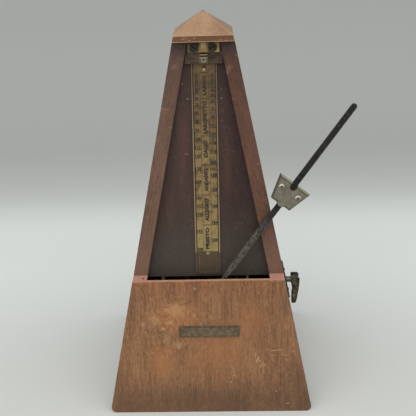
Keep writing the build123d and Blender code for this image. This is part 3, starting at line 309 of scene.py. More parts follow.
def start_effect(name, inputs, outputs):
    """A node group with named sockets. Its inputs are Place and those given, each with its default."""
    group = bpy.data.node_groups.new(name, "ShaderNodeTree")
    for label, value in {"Place": ORIGIN, **inputs}.items():
        many = isinstance(value, tuple)
        kind = "Color" if many and len(value) == 4 else "Vector" if many else "Float"
        socket = group.interface.new_socket(name=label, in_out="INPUT", socket_type="NodeSocket" + kind)
        socket.default_value = value
    for label in outputs:
        kind = "NodeSocketColor" if label == "Color" else "NodeSocketFloat"
        group.interface.new_socket(name=label, in_out="OUTPUT", socket_type=kind)
    return group, group.nodes.new("NodeGroupInput").outputs, group.nodes.new("NodeGroupOutput").inputs


def wood_grain():
    """Streaks along Z with open pores and broad light and dark patches."""
    inputs = {
        "Light": BLACK, "Dark": BLACK, "Pores": BLACK, "Fibre": 0.0011, "Contrast": 1.0, "Pore Amount": 0.5,
    }
    _, given, made = start_effect("wood grain", inputs, ("Color", "Height", "Pore Mask"))
    place = given["Place"]
    fineness = sum_up("DIVIDE", 1.0, given["Fibre"])
    fibres = noise(drawn_out(place, 0.05), fineness, 3.0, 0.62, 0.2)
    mottle = noise(drawn_out(place, 0.3), times(fineness, 0.8), 2.0, 0.6, 0.3)
    bands = noise(drawn_out(place, 0.12), times(fineness, 0.16), 2.0, 0.5, 0.6)
    patches = noise(drawn_out(place, 0.6), 42.0, 3.0, 0.6)
    small = plus(times(fibres, 0.36), times(mottle, 0.26))
    tone = plus(small, plus(times(bands, 0.18), times(patches, 0.2)))
    tone = plus(times(minus(tone, 0.5), times(given["Contrast"], 3.6)), 0.5, clamp=True)
    flecks = noise(drawn_out(place, 0.16), times(fineness, 2.0), 1.0, 0.5, 0.0)
    pores = times(ramp(flecks, 0.56, 0.7), given["Pore Amount"])
    colour = mix(tone, given["Dark"], given["Light"])
    feed(made["Color"], mix(pores, colour, given["Pores"]))
    feed(made["Height"], minus(times(fibres, 0.5), pores))
    feed(made["Pore Mask"], pores)


def worn_edges():
    """The sharp edges of a piece, broken up where the rubbing missed them."""
    tree, given, made = start_effect("worn edges", {"Width": 0.0009, "Breaks": 0.5}, ("Mask",))
    rounded = put(tree, "ShaderNodeBevel", {"Radius": given["Width"]}, samples=6).outputs["Normal"]
    flat = put(tree, "ShaderNodeNewGeometry").outputs["Normal"]
    edge = ramp(minus(1.0, steer("DOT_PRODUCT", rounded, flat)), 0.004, 0.09)
    missed = ramp(noise(given["Place"], 260.0, 3.0, 0.6), 0.36, 0.62)
    kept = minus(1.0, times(given["Breaks"], minus(1.0, missed)))
    feed(made["Mask"], times(edge, kept, clamp=True))


def settled_dust():
    """Dust on faces that look upwards, and in a thin uneven film elsewhere."""
    tree, given, made = start_effect("settled dust", {"Amount": 0.4, "Film": 0.1}, ("Mask",))
    lying = times(ramp(upward(tree), 0.35, 0.95), given["Amount"])
    cloud = ramp(noise(given["Place"], 320.0, 4.0, 0.65), 0.35, 0.68)
    film = times(given["Film"], cloud)
    feed(made["Mask"], plus(times(lying, plus(0.4, times(cloud, 0.6))), film, clamp=True))


def tarnish():
    """Clean and dull metal in clouds, with small dark specks."""
    inputs = {
        "Clean": BLACK, "Dull": BLACK, "Speck": BLACK, "Cloud Size": 0.006, "Dullness": 0.5, "Specks": 0.5,
    }
    _, given, made = start_effect("tarnish", inputs, ("Color", "Roughness", "Height"))
    scale = sum_up("DIVIDE", 1.0, given["Cloud Size"])
    clouds = noise(given["Place"], scale, 4.0, 0.62, 0.4)
    bite = ramp(plus(clouds, minus(given["Dullness"], 0.5)), 0.38, 0.64)
    small = noise(given["Place"], times(scale, 7.0), 2.0, 0.5, 0.0)
    specks = times(ramp(small, 0.64, 0.74), given["Specks"])
    colour = mix(bite, given["Clean"], given["Dull"])
    feed(made["Color"], mix(specks, colour, given["Speck"]))
    rough = plus(0.30, times(bite, 0.2))
    feed(made["Roughness"], plus(rough, times(specks, 0.25), clamp=True))
    feed(made["Height"], minus(times(small, 0.4), specks))


def fine_scratches():
    """Thin scratches, nearly straight, here and there."""
    tree, given, made = start_effect("fine scratches", {"Spacing": 0.012, "Amount": 0.5}, ("Mask",))
    scale = sum_up("DIVIDE", 1.0, given["Spacing"])
    lines = None
    for turn, pull in ((0.35, 0.06), (-0.8, 0.09), (1.35, 0.07)):
        sockets = {"Vector": given["Place"], "Rotation": (0.0, turn, 0.0)}
        turned = put(tree, "ShaderNodeMapping", sockets).outputs["Vector"]
        field = noise(drawn_out(turned, pull), scale, 2.0, 0.5, 0.0)
        line = ramp(unsigned(minus(field, 0.5)), 0.0, 0.012, 1.0, 0.0)
        kept = ramp(noise(turned, times(scale, 1.3), 1.0, 0.5, 0.0), 0.58, 0.66)
        line = times(line, kept)
        lines = line if lines is None else sum_up("MAXIMUM", lines, line)
    feed(made["Mask"], times(lines, given["Amount"], clamp=True))


def single_mark():
    """One mark at a place, such as a blotch, a scratch or a hole, with a ragged border."""
    inputs = {
        "Centre": ORIGIN, "Turn": ORIGIN, "Half Size": (0.001, 1.0, 0.001), "Softness": 0.4, "Ragged": 0.3,
    }
    tree, given, made = start_effect("single mark", inputs, ("Mask",))
    sockets = {
        "Vector": given["Place"], "Location": given["Centre"],
        "Rotation": given["Turn"], "Scale": given["Half Size"],
    }
    near = put(tree, "ShaderNodeMapping", sockets, vector_type="TEXTURE").outputs["Vector"]
    ragged = times(minus(noise(given["Place"], 620.0, 3.0, 0.6), 0.5), times(given["Ragged"], 3.0))
    far = plus(steer("LENGTH", near), ragged)
    feed(made["Mask"], ramp(far, minus(1.0, given["Softness"]), 1.0, 1.0, 0.0))


EFFECTS = {
    "wood grain": wood_grain, "worn edges": worn_edges, "settled dust": settled_dust,
    "tarnish": tarnish, "fine scratches": fine_scratches, "single mark": single_mark,
}


class Finish:
    """A material under construction: its tree, its shader, and the colour laid on so far."""

    def __init__(self, name):
        self.material = bpy.data.materials.new(name)
        self.material.use_nodes = True
        self.tree = self.material.node_tree
        self.tree.nodes.clear()
        self.shader = self.tree.nodes.new("ShaderNodeBsdfPrincipled")
        surface = self.tree.nodes.new("ShaderNodeOutputMaterial").inputs["Surface"]
        self.tree.links.new(self.shader.outputs["BSDF"], surface)
        self.place = self.tree.nodes.new("ShaderNodeTexCoord").outputs["Object"]
        split = put(self.tree, "ShaderNodeSeparateXYZ", {"Vector": self.place})
        self.x, self.y, self.z = split.outputs
        self.colour = self.rough = self.height = None

    def effect(self, name, **values):
        """Places a shared effect, with its own values."""
        if name not in bpy.data.node_groups:
            EFFECTS[name]()
        node = put(self.tree, "ShaderNodeGroup", node_tree=bpy.data.node_groups[name])
        for label, value in {"Place": self.place, **values}.items():
            feed(node.inputs[label.replace("_", " ")], value)
        return node.outputs

    def over(self, mask, colour, strength=1.0):
        """Lays a colour over what is there, where the mask says."""
        amount = mask if strength == 1.0 else times(mask, strength)
        self.colour = mix(amount, self.colour, colour)

    def darken(self, mask, colour):
        """Multiplies what is there by a colour, where the mask says."""
        self.colour = mix(mask, self.colour, colour, "MULTIPLY")

    def rougher(self, mask, amount):
        """Makes the surface duller, or with a negative amount glossier, where the mask says."""
        self.rough = plus(self.rough, times(mask, amount), clamp=True)

    def done(self, bump=0.2, depth=0.0002, **constants):
        """Links colour, roughness and height to the shader, and sets what is the same all over."""
        feed(self.shader.inputs["Base Color"], self.colour)
        feed(self.shader.inputs["Roughness"], self.rough)
        if self.height is not None:
            sockets = {"Strength": bump, "Distance": depth, "Height": self.height}
            normal = put(self.tree, "ShaderNodeBump", sockets).outputs["Normal"]
            feed(self.shader.inputs["Normal"], normal)
        for label, value in constants.items():
            self.shader.inputs[label.replace("_", " ")].default_value = value
        return self.material


def toned(colour, share):
    """A colour made darker, or with a share above 1 lighter."""
    return tuple(share * c for c in colour)


def uneven(finish, value, scale, reach):
    """A length shifted to and fro by noise, by up to half of reach, in millimetres."""
    return plus(value, times(minus(noise(finish.place, scale, 3.0), 0.5), reach * MM))


def facing(finish, direction):
    """The faces that look along a direction of the part's own frame."""
    normal = put(finish.tree, "ShaderNodeTexCoord").outputs["Normal"]
    return ramp(steer("DOT_PRODUCT", normal, tuple(direction)), 0.25, 0.5)


def edges(finish, width, breaks):
    """The rubbed edges, with their width in millimetres."""
    return finish.effect("worn edges", Width=width * MM, Breaks=breaks)["Mask"]


def rub_edges(finish, colour, strength, breaks=0.6, width=1.0, where=None):
    """Lays a colour along the sharp edges of wood, all over or only where a mask says."""
    edge = finish.effect("worn edges", Width=finish.edge_width * width, Breaks=breaks)["Mask"]
    if where is not None:
        edge = times(edge, where)
    finish.over(edge, colour, strength)
    finish.rougher(edge, 0.12)


def add_dust(finish, colour, amount, film):
    """Lays dust on what looks upwards, and a thin film elsewhere."""
    dust = finish.effect("settled dust", Amount=amount, Film=film)["Mask"]
    finish.over(dust, colour)
    finish.rougher(dust, 0.3)


def add_scratches(finish, colour, spacing, amount):
    finish.over(finish.effect("fine scratches", Spacing=spacing * MM, Amount=amount)["Mask"], colour)


def add_mark(
    finish, colour, x, z, half_width, half_height, strength, turn=0.0, softness=0.5, ragged=0.3,
    y=0.0, half_depth=1000.0,
):
    """A mark seen from the front, with its centre and half sizes in millimetres and its turn in degrees."""
    mark = finish.effect(
        "single mark", Centre=(x * MM, y * MM, z * MM), Turn=(0.0, radians(-turn), 0.0),
        Half_Size=(half_width * MM, half_depth * MM, half_height * MM), Softness=softness, Ragged=ragged,
    )
    finish.over(mark["Mask"], colour, strength)


def add_marks(finish, colour, *rows, softness, ragged):
    """Like marks, each with its x, z, half width, half height and strength, and some with a turn."""
    for row in rows:
        add_mark(finish, colour, *row, softness=softness, ragged=ragged)


def add_spot(finish, colour, centre, radius, strength=0.6, softness=0.4):
    """A round mark about a point of the part's frame, in metres, with its radius in millimetres."""
    half_size = (radius * MM,) * 3
    spot = finish.effect(
        "single mark", Centre=tuple(centre), Half_Size=half_size, Softness=softness, Ragged=0.2
    )
    finish.over(spot["Mask"], colour, strength)


# --- Woods ---------------------------------------------------------------------------------


def start_wood(
    settings, kind, name, pores=None, sideways=False, contrast=1.0, pore_amount=0.5, width=1.0
):
    """Wood with its streaks running up the case. sideways leans them inwards with the sides."""
    light, dark = getattr(settings, kind + "_light"), getattr(settings, kind + "_dark")
    finish = Finish(name)
    rise = times(finish.z, slope)
    x = plus(unsigned(finish.x), rise) if sideways else finish.x
    y = plus(unsigned(finish.y), rise)
    along = put(finish.tree, "ShaderNodeCombineXYZ", {"X": x, "Y": y, "Z": finish.z}).outputs["Vector"]
    grain = finish.effect(
        "wood grain", Place=along, Light=light, Dark=dark, Pores=pores or toned(dark, 0.6),
        Fibre=settings.fibre * width, Contrast=contrast, Pore_Amount=pore_amount,
    )
    finish.colour = grain["Color"]
    finish.height = grain["Height"]
    finish.rough = plus(0.42, times(grain["Pore Mask"], 0.25))
    finish.edge_width = settings.edge_width
    return finish


LEDGE_FROM = 34.4       # how far from the middle the bare ends of the front panel's top begin, in millimetres


def front_panel_wood(settings):
    """Varnished wood with crazing, chips, scratches, a rubbed lip with a painted highlight, and painted shade
    towards the floor. With 17 more marks it rendered black, and with 11 more it rendered right."""
    finish = start_wood(
        settings, "front", "front panel wood", settings.front_pores,
        contrast=1.5, pore_amount=0.46, width=0.72,
    )
    worn, grime = settings.front_worn, settings.grime
    dark = toned(settings.front_dark, 0.5)
    add_marks(
        finish, settings.front_orange,
        (-20, 57, 22, 14, 0.85), (4, 36, 30, 26, 0.5), (-28, 32, 12, 18, 0.6), (24, 56, 14, 18, 0.45),
        softness=1.0, ragged=0.35,
    )
    add_marks(
        finish, grime,
        (-45, 66, 8, 9, 0.25), (-54, 24, 6, 26, 0.3), (44, 66, 10, 10, 0.35), (50, 18, 16, 22, 0.5),
        (4, 7, 60, 12, 0.4),
        softness=1.0, ragged=0.5,
    )
    upper_part = fade(finish.z, 60, 74)
    finish.darken(upper_part, (1.0, 0.91, 0.87))
    crazed = finish.effect(
        "single mark", Centre=(-22 * MM, 0.0, 50 * MM), Half_Size=(34 * MM, 1.0, 26 * MM),
        Softness=1.0, Ragged=0.4,
    )["Mask"]
    flakes = noise(drawn_out(finish.place, 0.7), 520.0, 4.0, 0.7, 0.6)
    finish.over(ramp(flakes, 0.54, 0.64), worn, 0.24)
    finish.over(times(crazed, ramp(flakes, 0.53, 0.6)), worn, 0.6)
    finish.over(times(crazed, ramp(flakes, 0.46, 0.38)), dark, 0.5)
    # Painted shade: the panel is made darker towards the floor, in the grime colour.
    shade_near_floor = fade(uneven(finish, finish.z, 60.0, 14), 26, 4)
    finish.over(shade_near_floor, grime, 0.52)
    add_marks(
        finish, toned(worn, 1.15),
        (-26.0, 49.8, 2.0, 1.7, 0.8), (-22.2, 53.6, 2.3, 1.5, 0.8), (-37.8, 52.7, 1.2, 1.6, 0.6),
        (-8.1, 57.2, 1.3, 1.7, 0.55), (-17.5, 40.0, 2.3, 3.4, 0.65), (-7.6, 72.6, 1.1, 1.3, 0.6),
        (-19.0, 61.0, 8.5, 5.0, 0.55), (-31.0, 55.0, 3.4, 4.6, 0.4), (-24.0, 44.0, 3.0, 5.0, 0.35),
        softness=0.75, ragged=0.35,
    )
    add_marks(
        finish, settings.front_scratch,
        (27.4, 31.0, 0.36, 2.6, 0.95, -22), (29.6, 27.6, 0.34, 2.4, 0.8, -38),
        (30.8, 24.0, 0.3, 2.0, 0.5, 20), (37.6, 36.4, 2.9, 0.32, 0.8, 3),
        (42.4, 33.6, 2.6, 0.3, 0.55, -14), (47.6, 35.4, 0.7, 0.5, 0.6, 20),
        (13.8, 21.6, 1.0, 0.36, 0.75, 30), (12.0, 18.0, 0.5, 0.7, 0.65, -15),
        (15.2, 20.4, 0.32, 1.1, 0.6, 28), (38.0, 12.0, 0.6, 0.5, 0.6), (44.6, 4.6, 1.6, 0.4, 0.5, 8),
        (26.4, 34.0, 0.3, 1.4, 0.8, -12), (28.6, 30.4, 0.3, 1.6, 0.7, 30),
        (31.4, 27.8, 0.3, 1.8, 0.7, -30), (33.0, 36.8, 1.4, 0.3, 0.7, 24),
        (36.0, 33.6, 2.4, 0.26, 0.5, -6), (40.6, 36.6, 1.8, 0.28, 0.6, -4),
        (44.0, 30.6, 1.6, 0.28, 0.5, 8), (11.0, 20.4, 1.1, 0.28, 0.6, -24),
        softness=0.4, ragged=0.2,
    )
    add_marks(
        finish, dark,
        (40.6, 20.5, 0.26, 18.0, 0.55), (-12.6, 64.6, 5.6, 0.32, 0.7, 16),
        (-19.4, 66.6, 2.4, 0.3, 0.6, 24), (-31.6, 63.0, 0.34, 4.4, 0.6, 8),
        (-27.0, 67.2, 3.4, 0.34, 0.55, 30), (-14.6, 51.4, 3.0, 0.32, 0.6, -20),
        (-24.2, 62.4, 0.8, 0.6, 0.5), (-41.0, 75.9, 3.0, 0.34, 0.5), (42.0, 75.9, 3.6, 0.34, 0.5),
        softness=0.6, ragged=0.2,
    )
    # The faces that look up get the lip colour: rubbed wood with a painted highlight.
    on_top = ramp(upward(finish.tree), 0.5, 0.85)
    finish.over(on_top, settings.lip, 0.9)
    at_ends = fade(unsigned(finish.x), LEDGE_FROM, LEDGE_FROM + 0.5)
    finish.over(times(on_top, at_ends), settings.bare, 0.9)
    for scale, reach, low, high, strength in ((900.0, 1.6, 77.4, 78.2, 0.7), (600.0, 2.4, 75.8, 77.0, 0.3)):
        chipped = fade(uneven(finish, finish.z, scale, reach), low, high)
        finish.over(times(at_ends, chipped), settings.bare, strength)
    add_mark(finish, dark, -37.2, 77.2, 0.95, 2.0, 0.95, softness=0.3, ragged=0.1, y=-38.9, half_depth=0.95)
    add_mark(finish, dark, -36.6, 75.0, 0.7, 0.5, 0.6)
    add_mark(finish, dark, 38.6, 77.2, 0.5, 2.0, 0.6, softness=0.4, ragged=0.1, y=-39.2, half_depth=0.5)
    high = fade(finish.z, 74, 76)
    rub_edges(finish, toned(grime, 0.75), 0.55, breaks=0.3, where=minus(1.0, high))
    rub_edges(finish, settings.cap_arris, 0.5, breaks=0.7, width=0.5, where=high)
    add_scratches(finish, worn, 7, 0.2)
    return finish.done(bump=0.3, Coat_Weight=0.04, Coat_Roughness=0.35, Specular_IOR_Level=0.3)


def side_wood(settings):
    finish = start_wood(settings, "side", "side board wood", sideways=True, pore_amount=0.42)
    right = times(fade(finish.x, -1, 1), fade(finish.z, 84, 112, 0.72, 1.0))
    finish.darken(right, (0.81, 0.68, 0.63))
    lower_part, upper_part = fade(finish.z, 112, 80), fade(finish.z, 140, 198)
    finish.over(lower_part, settings.side_light, 0.6)
    finish.darken(upper_part, (0.78, 0.76, 0.78))
    # Painted shadow of the cap: a dark band on the sides just under it.
    cap_shadow_band = fade(uneven(finish, finish.z, 110.0, 10), 197, 203)
    finish.over(cap_shadow_band, settings.side_stain, 0.85)
    rub_edges(finish, toned(settings.side_dark, 0.45), 0.6, breaks=0.4)
    add_scratches(finish, settings.front_worn, 9, 0.25)
    return finish.done(bump=0.25, Specular_IOR_Level=0.25)


def bay_wood(settings):
    finish = start_wood(settings, "bay", "bay wood", contrast=0.7, pore_amount=0.3)
    right = fade(finish.x, 2, 14)
    finish.darken(right, (0.72, 0.64, 0.65))
    add_marks(
        finish, shade(94, 60, 52),
        (-13, 150, 4.5, 34, 0.5), (12, 138, 4, 30, 0.35), (-22, 112, 5, 24, 0.3),
        softness=1.0, ragged=0.4,
    )
    lower_part = fade(finish.z, 118, 82)
    finish.over(lower_part, shade(69, 63, 57), 0.8)
    add_marks(
        finish, shade(150, 134, 116),
        (-12.4, 182.4, 0.5, 0.45, 0.9), (-9.6, 174.4, 0.7, 0.5, 0.8), (9.4, 174.4, 0.8, 0.4, 0.8),
        (-9.2, 179.2, 0.5, 0.3, 0.5), (9.6, 179.4, 0.5, 0.3, 0.4), (10.2, 167.6, 0.9, 0.3, 0.35),
        (-11.0, 144.0, 1.6, 0.3, 0.55), (-9.6, 152.0, 0.4, 0.3, 0.4), (9.2, 162.0, 0.6, 0.3, 0.3),
        softness=0.5, ragged=0.2,
    )
    add_scratches(finish, shade(110, 96, 86), 8, 0.18)
    add_dust(finish, shade(118, 106, 96), 0.3, 0.05)
    return finish.done(bump=0.2, Specular_IOR_Level=0.2)


def cap_wood(settings):
    finish = start_wood(settings, "cap", "cap wood", contrast=1.1, pore_amount=0.4)
    low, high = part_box("cap")
    edge = ramp(finish.z, low.z + 3.25 * MM, low.z + 2.95 * MM)
    level = {"Vector": finish.place, "Rotation": (0, pi / 2, 0)}
    band = finish.effect(
        "wood grain", Place=put(finish.tree, "ShaderNodeMapping", level).outputs["Vector"],
        Light=settings.cap_edge, Dark=toned(settings.cap_edge, 0.6), Pores=toned(settings.cap_edge, 0.35),
        Fibre=0.0007, Contrast=1.0, Pore_Amount=0.6,
    )
    # Painted shade: the right part of the cap is darker, as if lit from the left.
    right = fade(finish.x, 0, 9)
    finish.darken(right, (0.85, 0.84, 0.83))
    add_marks(
        finish, settings.cap_dark,
        (-11.5, 213.6, 2.6, 2.2, 0.5), (-5.0, 212.8, 1.8, 2.2, 0.4), (12.5, 215.0, 4.0, 2.2, 0.55),
        (4.0, 212.4, 1.4, 2.2, 0.3),
        softness=0.9, ragged=0.5,
    )
    finish.over(edge, band["Color"])
    add_marks(
        finish, settings.cap_light,
        (-10.4, 208.3, 2.0, 0.22, 0.6, 12), (-7.4, 207.6, 1.6, 0.2, 0.6, -20),
        (-4.6, 208.6, 1.2, 0.2, 0.6, 8), (9.0, 207.4, 1.4, 0.18, 0.6, 15),
        softness=0.4, ragged=0.2,
    )
    tip = ramp(finish.z, high.z - 0.7 * MM, high.z)
    finish.over(tip, toned(settings.cap_dark, 0.35), 0.8)
    rub_edges(finish, settings.cap_arris, 1.0, breaks=0.2, width=0.6)
    add_scratches(finish, settings.cap_arris, 6, 0.3)
    return finish.done(bump=0.25, Specular_IOR_Level=0.3)


def base_wood(settings):
    finish = start_wood(settings, "base", "base wood", settings.front_pores, contrast=0.9)
    rub_edges(finish, settings.base_light, 0.5)
    add_dust(finish, shade(130, 122, 110), 0.3, 0.15)
    return finish.done(bump=0.3, Specular_IOR_Level=0.3)


WOODS = {
    "front_wood": front_panel_wood, "side_wood": side_wood, "bay_wood": bay_wood,
    "cap_wood": cap_wood, "base_wood": base_wood,
}


# --- Metals --------------------------------------------------------------------------------


def metal(
    name, clean, dull, speck=None, cloud=6.0, dullness=0.5, specks=0.4, rough=0.0, metallic=0.9,
    bump=0.12, edge=None, edge_width=0.4,
):
    """A metal surface with clouds of tarnish and edges in the edge colour: rubbed metal on some pieces, a painted
    highlight on the blued screws and the key.
    """
    finish = Finish(name)
    look = finish.effect(
        "tarnish", Clean=clean, Dull=dull, Speck=speck or toned(dull, 0.35),
        Cloud_Size=cloud * MM, Dullness=dullness, Specks=specks,
    )
    finish.colour, finish.height = look["Color"], look["Height"]
    finish.rough = plus(look["Roughness"], rough, clamp=True)
    if edge:
        rim = edges(finish, edge_width, 0.4)
        finish.over(rim, edge, 0.8)
        finish.rougher(rim, -0.08)
    finish.metallic, finish.bump = metallic, bump
    return finish


def finish_metal(finish):
    return finish.done(bump=finish.bump, depth=0.0001, Metallic=finish.metallic)


def scale_brass(settings):
    finish = metal(
        "scale brass", settings.scale_clean, settings.scale_dull,
        cloud=4.0, dullness=0.46, rough=0.1, metallic=0.7, specks=0.5,
    )
    dark = settings.scale_panel
    low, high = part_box("scale_plate")
    # Darker towards the top of the plate.
    upper_part = ramp(finish.z, low.z + 45 * MM, high.z - 4 * MM)
    finish.over(upper_part, settings.scale_dull, 0.85)
    # Lighter and more golden low down: a painted highlight on the brass.
    lower_part = ramp(finish.z, low.z + 40 * MM, low.z + 20 * MM)
    finish.over(lower_part, shade(172, 152, 98), 0.55)
    above, below = (on_face(0, rise * MM, PLATE_DEPTH).z for rise in (FOOT - 0.1, FOOT - 0.4))
    foot = ramp(finish.z, above, below)
    finish.over(foot, dark, 0.9)
    add_marks(
        finish, shade(128, 72, 54),
        (4.3, 163.0, 1.5, 1.8, 0.7), (4.2, 157.6, 1.6, 2.1, 0.7),
        softness=0.7, ragged=0.5,
    )
    add_marks(
        finish, dark,
        (4.2, 152.6, 2.2, 3.0, 0.7), (3.4, 140.0, 2.4, 4.0, 0.5),
        (5.0, 132.0, 1.4, 3.2, 0.4), (2.4, 159.5, 0.9, 5.6, 0.5),
        softness=0.7, ragged=0.5,
    )
    # A painted highlight along the rims, brighter lower down and gone on the foot.
    rim = fade(unsigned(finish.x), 6.65, 6.7)
    bright = minus(fade(finish.z, 188, 150, 0.25, 1.0), times(foot, 0.8), clamp=True)
    finish.over(times(rim, bright), settings.scale_rim, 0.7)
    pin = on_face(0, height_up_face("scale_plate", True) - 4.2 * MM, PIN_DEPTH)
    add_mark(finish, toned(dark, 0.2), 0, pin.z / MM + 1.4, 1.5, 1.9, 0.9, softness=0.4)
    return finish_metal(finish)


def bracket_brass(settings):
    dull = settings.catch_dull
    finish = metal("bracket brass", dull, toned(dull, 0.6), cloud=2.5, dullness=0.45, rough=0.1)
    right = fade(uneven(finish, finish.x, 500.0, 3), 4.5, 6.5)
    finish.over(right, settings.catch_clean, 0.85)
    finish.over(fade(unsigned(finish.x), 2.9, 2.2), settings.catch_clean, 0.5)
    low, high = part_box("catch_bracket")
    proud = ramp(finish.y, low.y + 2.6 * MM, low.y + 2.0 * MM)
    # The tongue is rubbed brass, made paler towards its top as a painted highlight.
    finish.over(times(proud, ramp(finish.z, low.z + 1.5 * MM, high.z)), settings.catch_pale, 0.9)
    finish.over(edges(finish, 0.3, 0.4), settings.catch_pale, 0.5)
    return finish_metal(finish)


def crossbar_brass(settings):
    finish = metal(
        "crossbar brass", settings.crossbar_clean, settings.crossbar_dull,
        cloud=4.0, dullness=0.55, rough=0.15, metallic=0.6,
    )
    pale = settings.catch_pale
    low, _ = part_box("catch_crossbar")
    middle = fade(unsigned(finish.x), 2.7, 2.1)
    finish.over(times(middle, ramp(finish.z, low.z + 6.0 * MM, low.z + 5.0 * MM)), pale, 0.2)
    finish.over(edges(finish, 0.3, 0.5), pale, 0.35)
    top = on_face(0, height_up_face("catch_bracket", False), BRACKET_DEPTH).z / MM
    add_marks(
        finish, pale,
        (0, top - 1.1, 2.4, 0.45, 0.6), (0, top - 2.9, 2.4, 0.45, 0.6), (0, top - 4.2, 1.6, 1.2, 0.6),
        softness=0.3, ragged=0.1,
    )
    # The black rows paint the shade inside the crossbar's two slots and its hole.
    add_marks(
        finish, (0.003, 0.002, 0.001),
        (0, top - 0.35, 2.5, 0.6, 0.97), (0, top - 2.0, 2.5, 0.5, 0.97), (0, top - 4.1, 0.7, 0.5, 0.97),
        softness=0.3, ragged=0.1,
    )
    return finish_metal(finish)


def rod_steel(settings):
    dust = settings.rod_dust
    finish = metal(
        "rod steel", settings.rod, toned(settings.rod, 0.6),
        cloud=2.0, rough=0.15, metallic=0.6, edge=toned(dust, 0.7),
    )
    from_axis = steer("SUBTRACT", finish.place, tuple(on_face(0, 0, ROD_DEPTH)))
    along = steer("DOT_PRODUCT", from_axis, tuple(rod_way))
    clouds = ramp(noise(finish.place, 700.0, 3.0, 0.65), 0.38, 0.6, 0.25, 1.0)
    dusty = times(fade(along, 66, 40), clouds)
    finish.over(dusty, dust, 0.7)
    specks = ramp(noise(finish.place, 1300.0, 1.0, 0.5), 0.6, 0.7)
    finish.over(times(specks, ramp(noise(finish.place, 240.0), 0.45, 0.6)), dust, 0.55)
    finish.rougher(dusty, 0.2)
    return finish_metal(finish)


def foot_border_brass(settings):
    dull = settings.scale_dull
    finish = metal("foot border brass", toned(dull, 1.5), dull, cloud=2.0, rough=0.15, metallic=0.3)
    return finish_metal(finish)


def rivet_centres():
    """The middle of each rivet's head on the front of the weight."""
    heads = {-1: [], 1: []}
    points = [v.co for v in parts["weight_rivets"].data.vertices]
    middle = sum(p.dot(beside_rod) for p in points) / len(points)
    front = max(p.dot(out) for p in points)
    for point in points:
        if point.dot(out) > front - 0.1 * MM:
            heads[1 if point.dot(beside_rod) > middle else -1].append(point)
    return [sum(head, Vector()) / len(head) for head in heads.values()]


def weight_nickel(settings):
    brassy = settings.nickel_edge
    finish = metal(
        "weight nickel", settings.nickel_clean, settings.nickel_dull,
        speck=brassy, cloud=3.0, specks=0.7, metallic=0.6, rough=0.05,
    )
    finish.over(edges(finish, 0.75, 0.3), brassy, 0.75)
    # The upper bevel gets a painted highlight; the bevel that faces left is made darker.
    finish.over(facing(finish, rod_way), settings.nickel_light, 0.8)
    finish.over(facing(finish, -beside_rod), toned(settings.nickel_dull, 0.6), 0.7)
    top = max(v.co.dot(rod_way) for v in parts["weight_front"].data.vertices)
    fall = minus(top, steer("DOT_PRODUCT", finish.place, tuple(rod_way)))
    crease = times(fade(fall, 0.85, 1.1), fade(fall, 1.9, 1.4))
    finish.over(crease, toned(brassy, 0.8), 0.75)
    # A dark spot a little below each rivet paints its shadow on the weight.
    for centre in rivet_centres():
        add_spot(finish, toned(brassy, 0.6), centre - uphill * 0.5 * MM, 1.9, softness=0.5)
    left_rivet = min(rivet_centres(), key=lambda c: c.x)
    add_spot(finish, toned(brassy, 0.8), left_rivet - uphill * 4.6 * MM, 0.8, softness=0.8)
    return finish_metal(finish)


def rivet_steel(settings):
    finish = metal(
        "rivet steel", settings.rivet, settings.nickel_light, cloud=1.5, dullness=0.2, rough=-0.05
    )
    # Painted highlight and shade: only a crescent at the top keeps the bright rivet colour, and a dark spot paints
    # shade in the head.
    for centre in rivet_centres():
        low, slot = centre - uphill * 1.18 * MM, centre - uphill * 0.3 * MM
        add_spot(finish, settings.nickel_clean, low, 2.0, strength=0.95, softness=0.25)
        add_spot(finish, toned(settings.nickel_edge, 0.5), slot, 0.8, strength=0.9, softness=0.5)
    return finish_metal(finish)


def dark_screws(settings):
    blued = settings.blued
    # The screws' edges get a painted highlight in a lighter blue.
    finish = metal(
        "blued steel", blued, toned(blued, 0.5),
        cloud=1.5, dullness=0.45, rough=0.1, edge=toned(blued, 1.9), edge_width=0.35,
    )
    low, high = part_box("catch_screws")
    middle = (low.z + high.z) / 2 / MM
    # Each head gets a painted highlight and a dark line, which paints the shade of a slot.
    for x, turn in ((low.x / MM + 2.4, -35), (high.x / MM - 2.4, 25)):
        add_mark(finish, toned(blued, 2.4), x, middle, 1.5, 1.1, 0.6, turn, softness=0.7, ragged=0.4)
        add_mark(finish, toned(blued, 0.1), x, middle, 1.9, 0.5, 0.95, turn, softness=0.3, ragged=0.1)
    return finish_metal(finish)


def printed_ink(settings):
    finish = Finish("printed ink")
    worn = ramp(noise(finish.place, 900.0, 3.0, 0.6), 0.4, 0.7)
    finish.colour = mix(worn, settings.ink, toned(settings.ink, 1.8))
    finish.rough = plus(0.5, times(worn, 0.2))
    return finish.done()


# --- Modelling -----------------------------------------------------------------------------


def clear_selection():
    if bpy.context.object and bpy.context.object.mode != "OBJECT":
        bpy.ops.object.mode_set(mode="OBJECT")
    bpy.ops.object.select_all(action="DESELECT")


def select_edges(piece, test):
    """In edit mode, selects only the edges that pass the test."""
    mesh = bmesh.from_edit_mesh(piece.data)
    for part in (*mesh.verts, *mesh.edges, *mesh.faces):
        part.select = False
    bpy.context.tool_settings.mesh_select_mode = (False, True, False)
    for edge in mesh.edges:
        if test(edge):
            edge.select_set(True)
    bmesh.update_edit_mesh(piece.data)


def gather(name, pieces):
    """Joins copies into one piece."""
    clear_selection()
    for piece in pieces:
        piece.select_set(True)
    bpy.context.view_layer.objects.active = pieces[0]
    bpy.ops.object.join()
    joined = bpy.context.object
    joined.name = joined.data.name = name
    return joined


def copy_at(piece, place):
    """A copy with its own mesh, put at a place."""
    copy = piece.copy()
    copy.data = piece.data.copy()
    bpy.context.collection.objects.link(copy)
    copy.data.transform(place)
    return copy


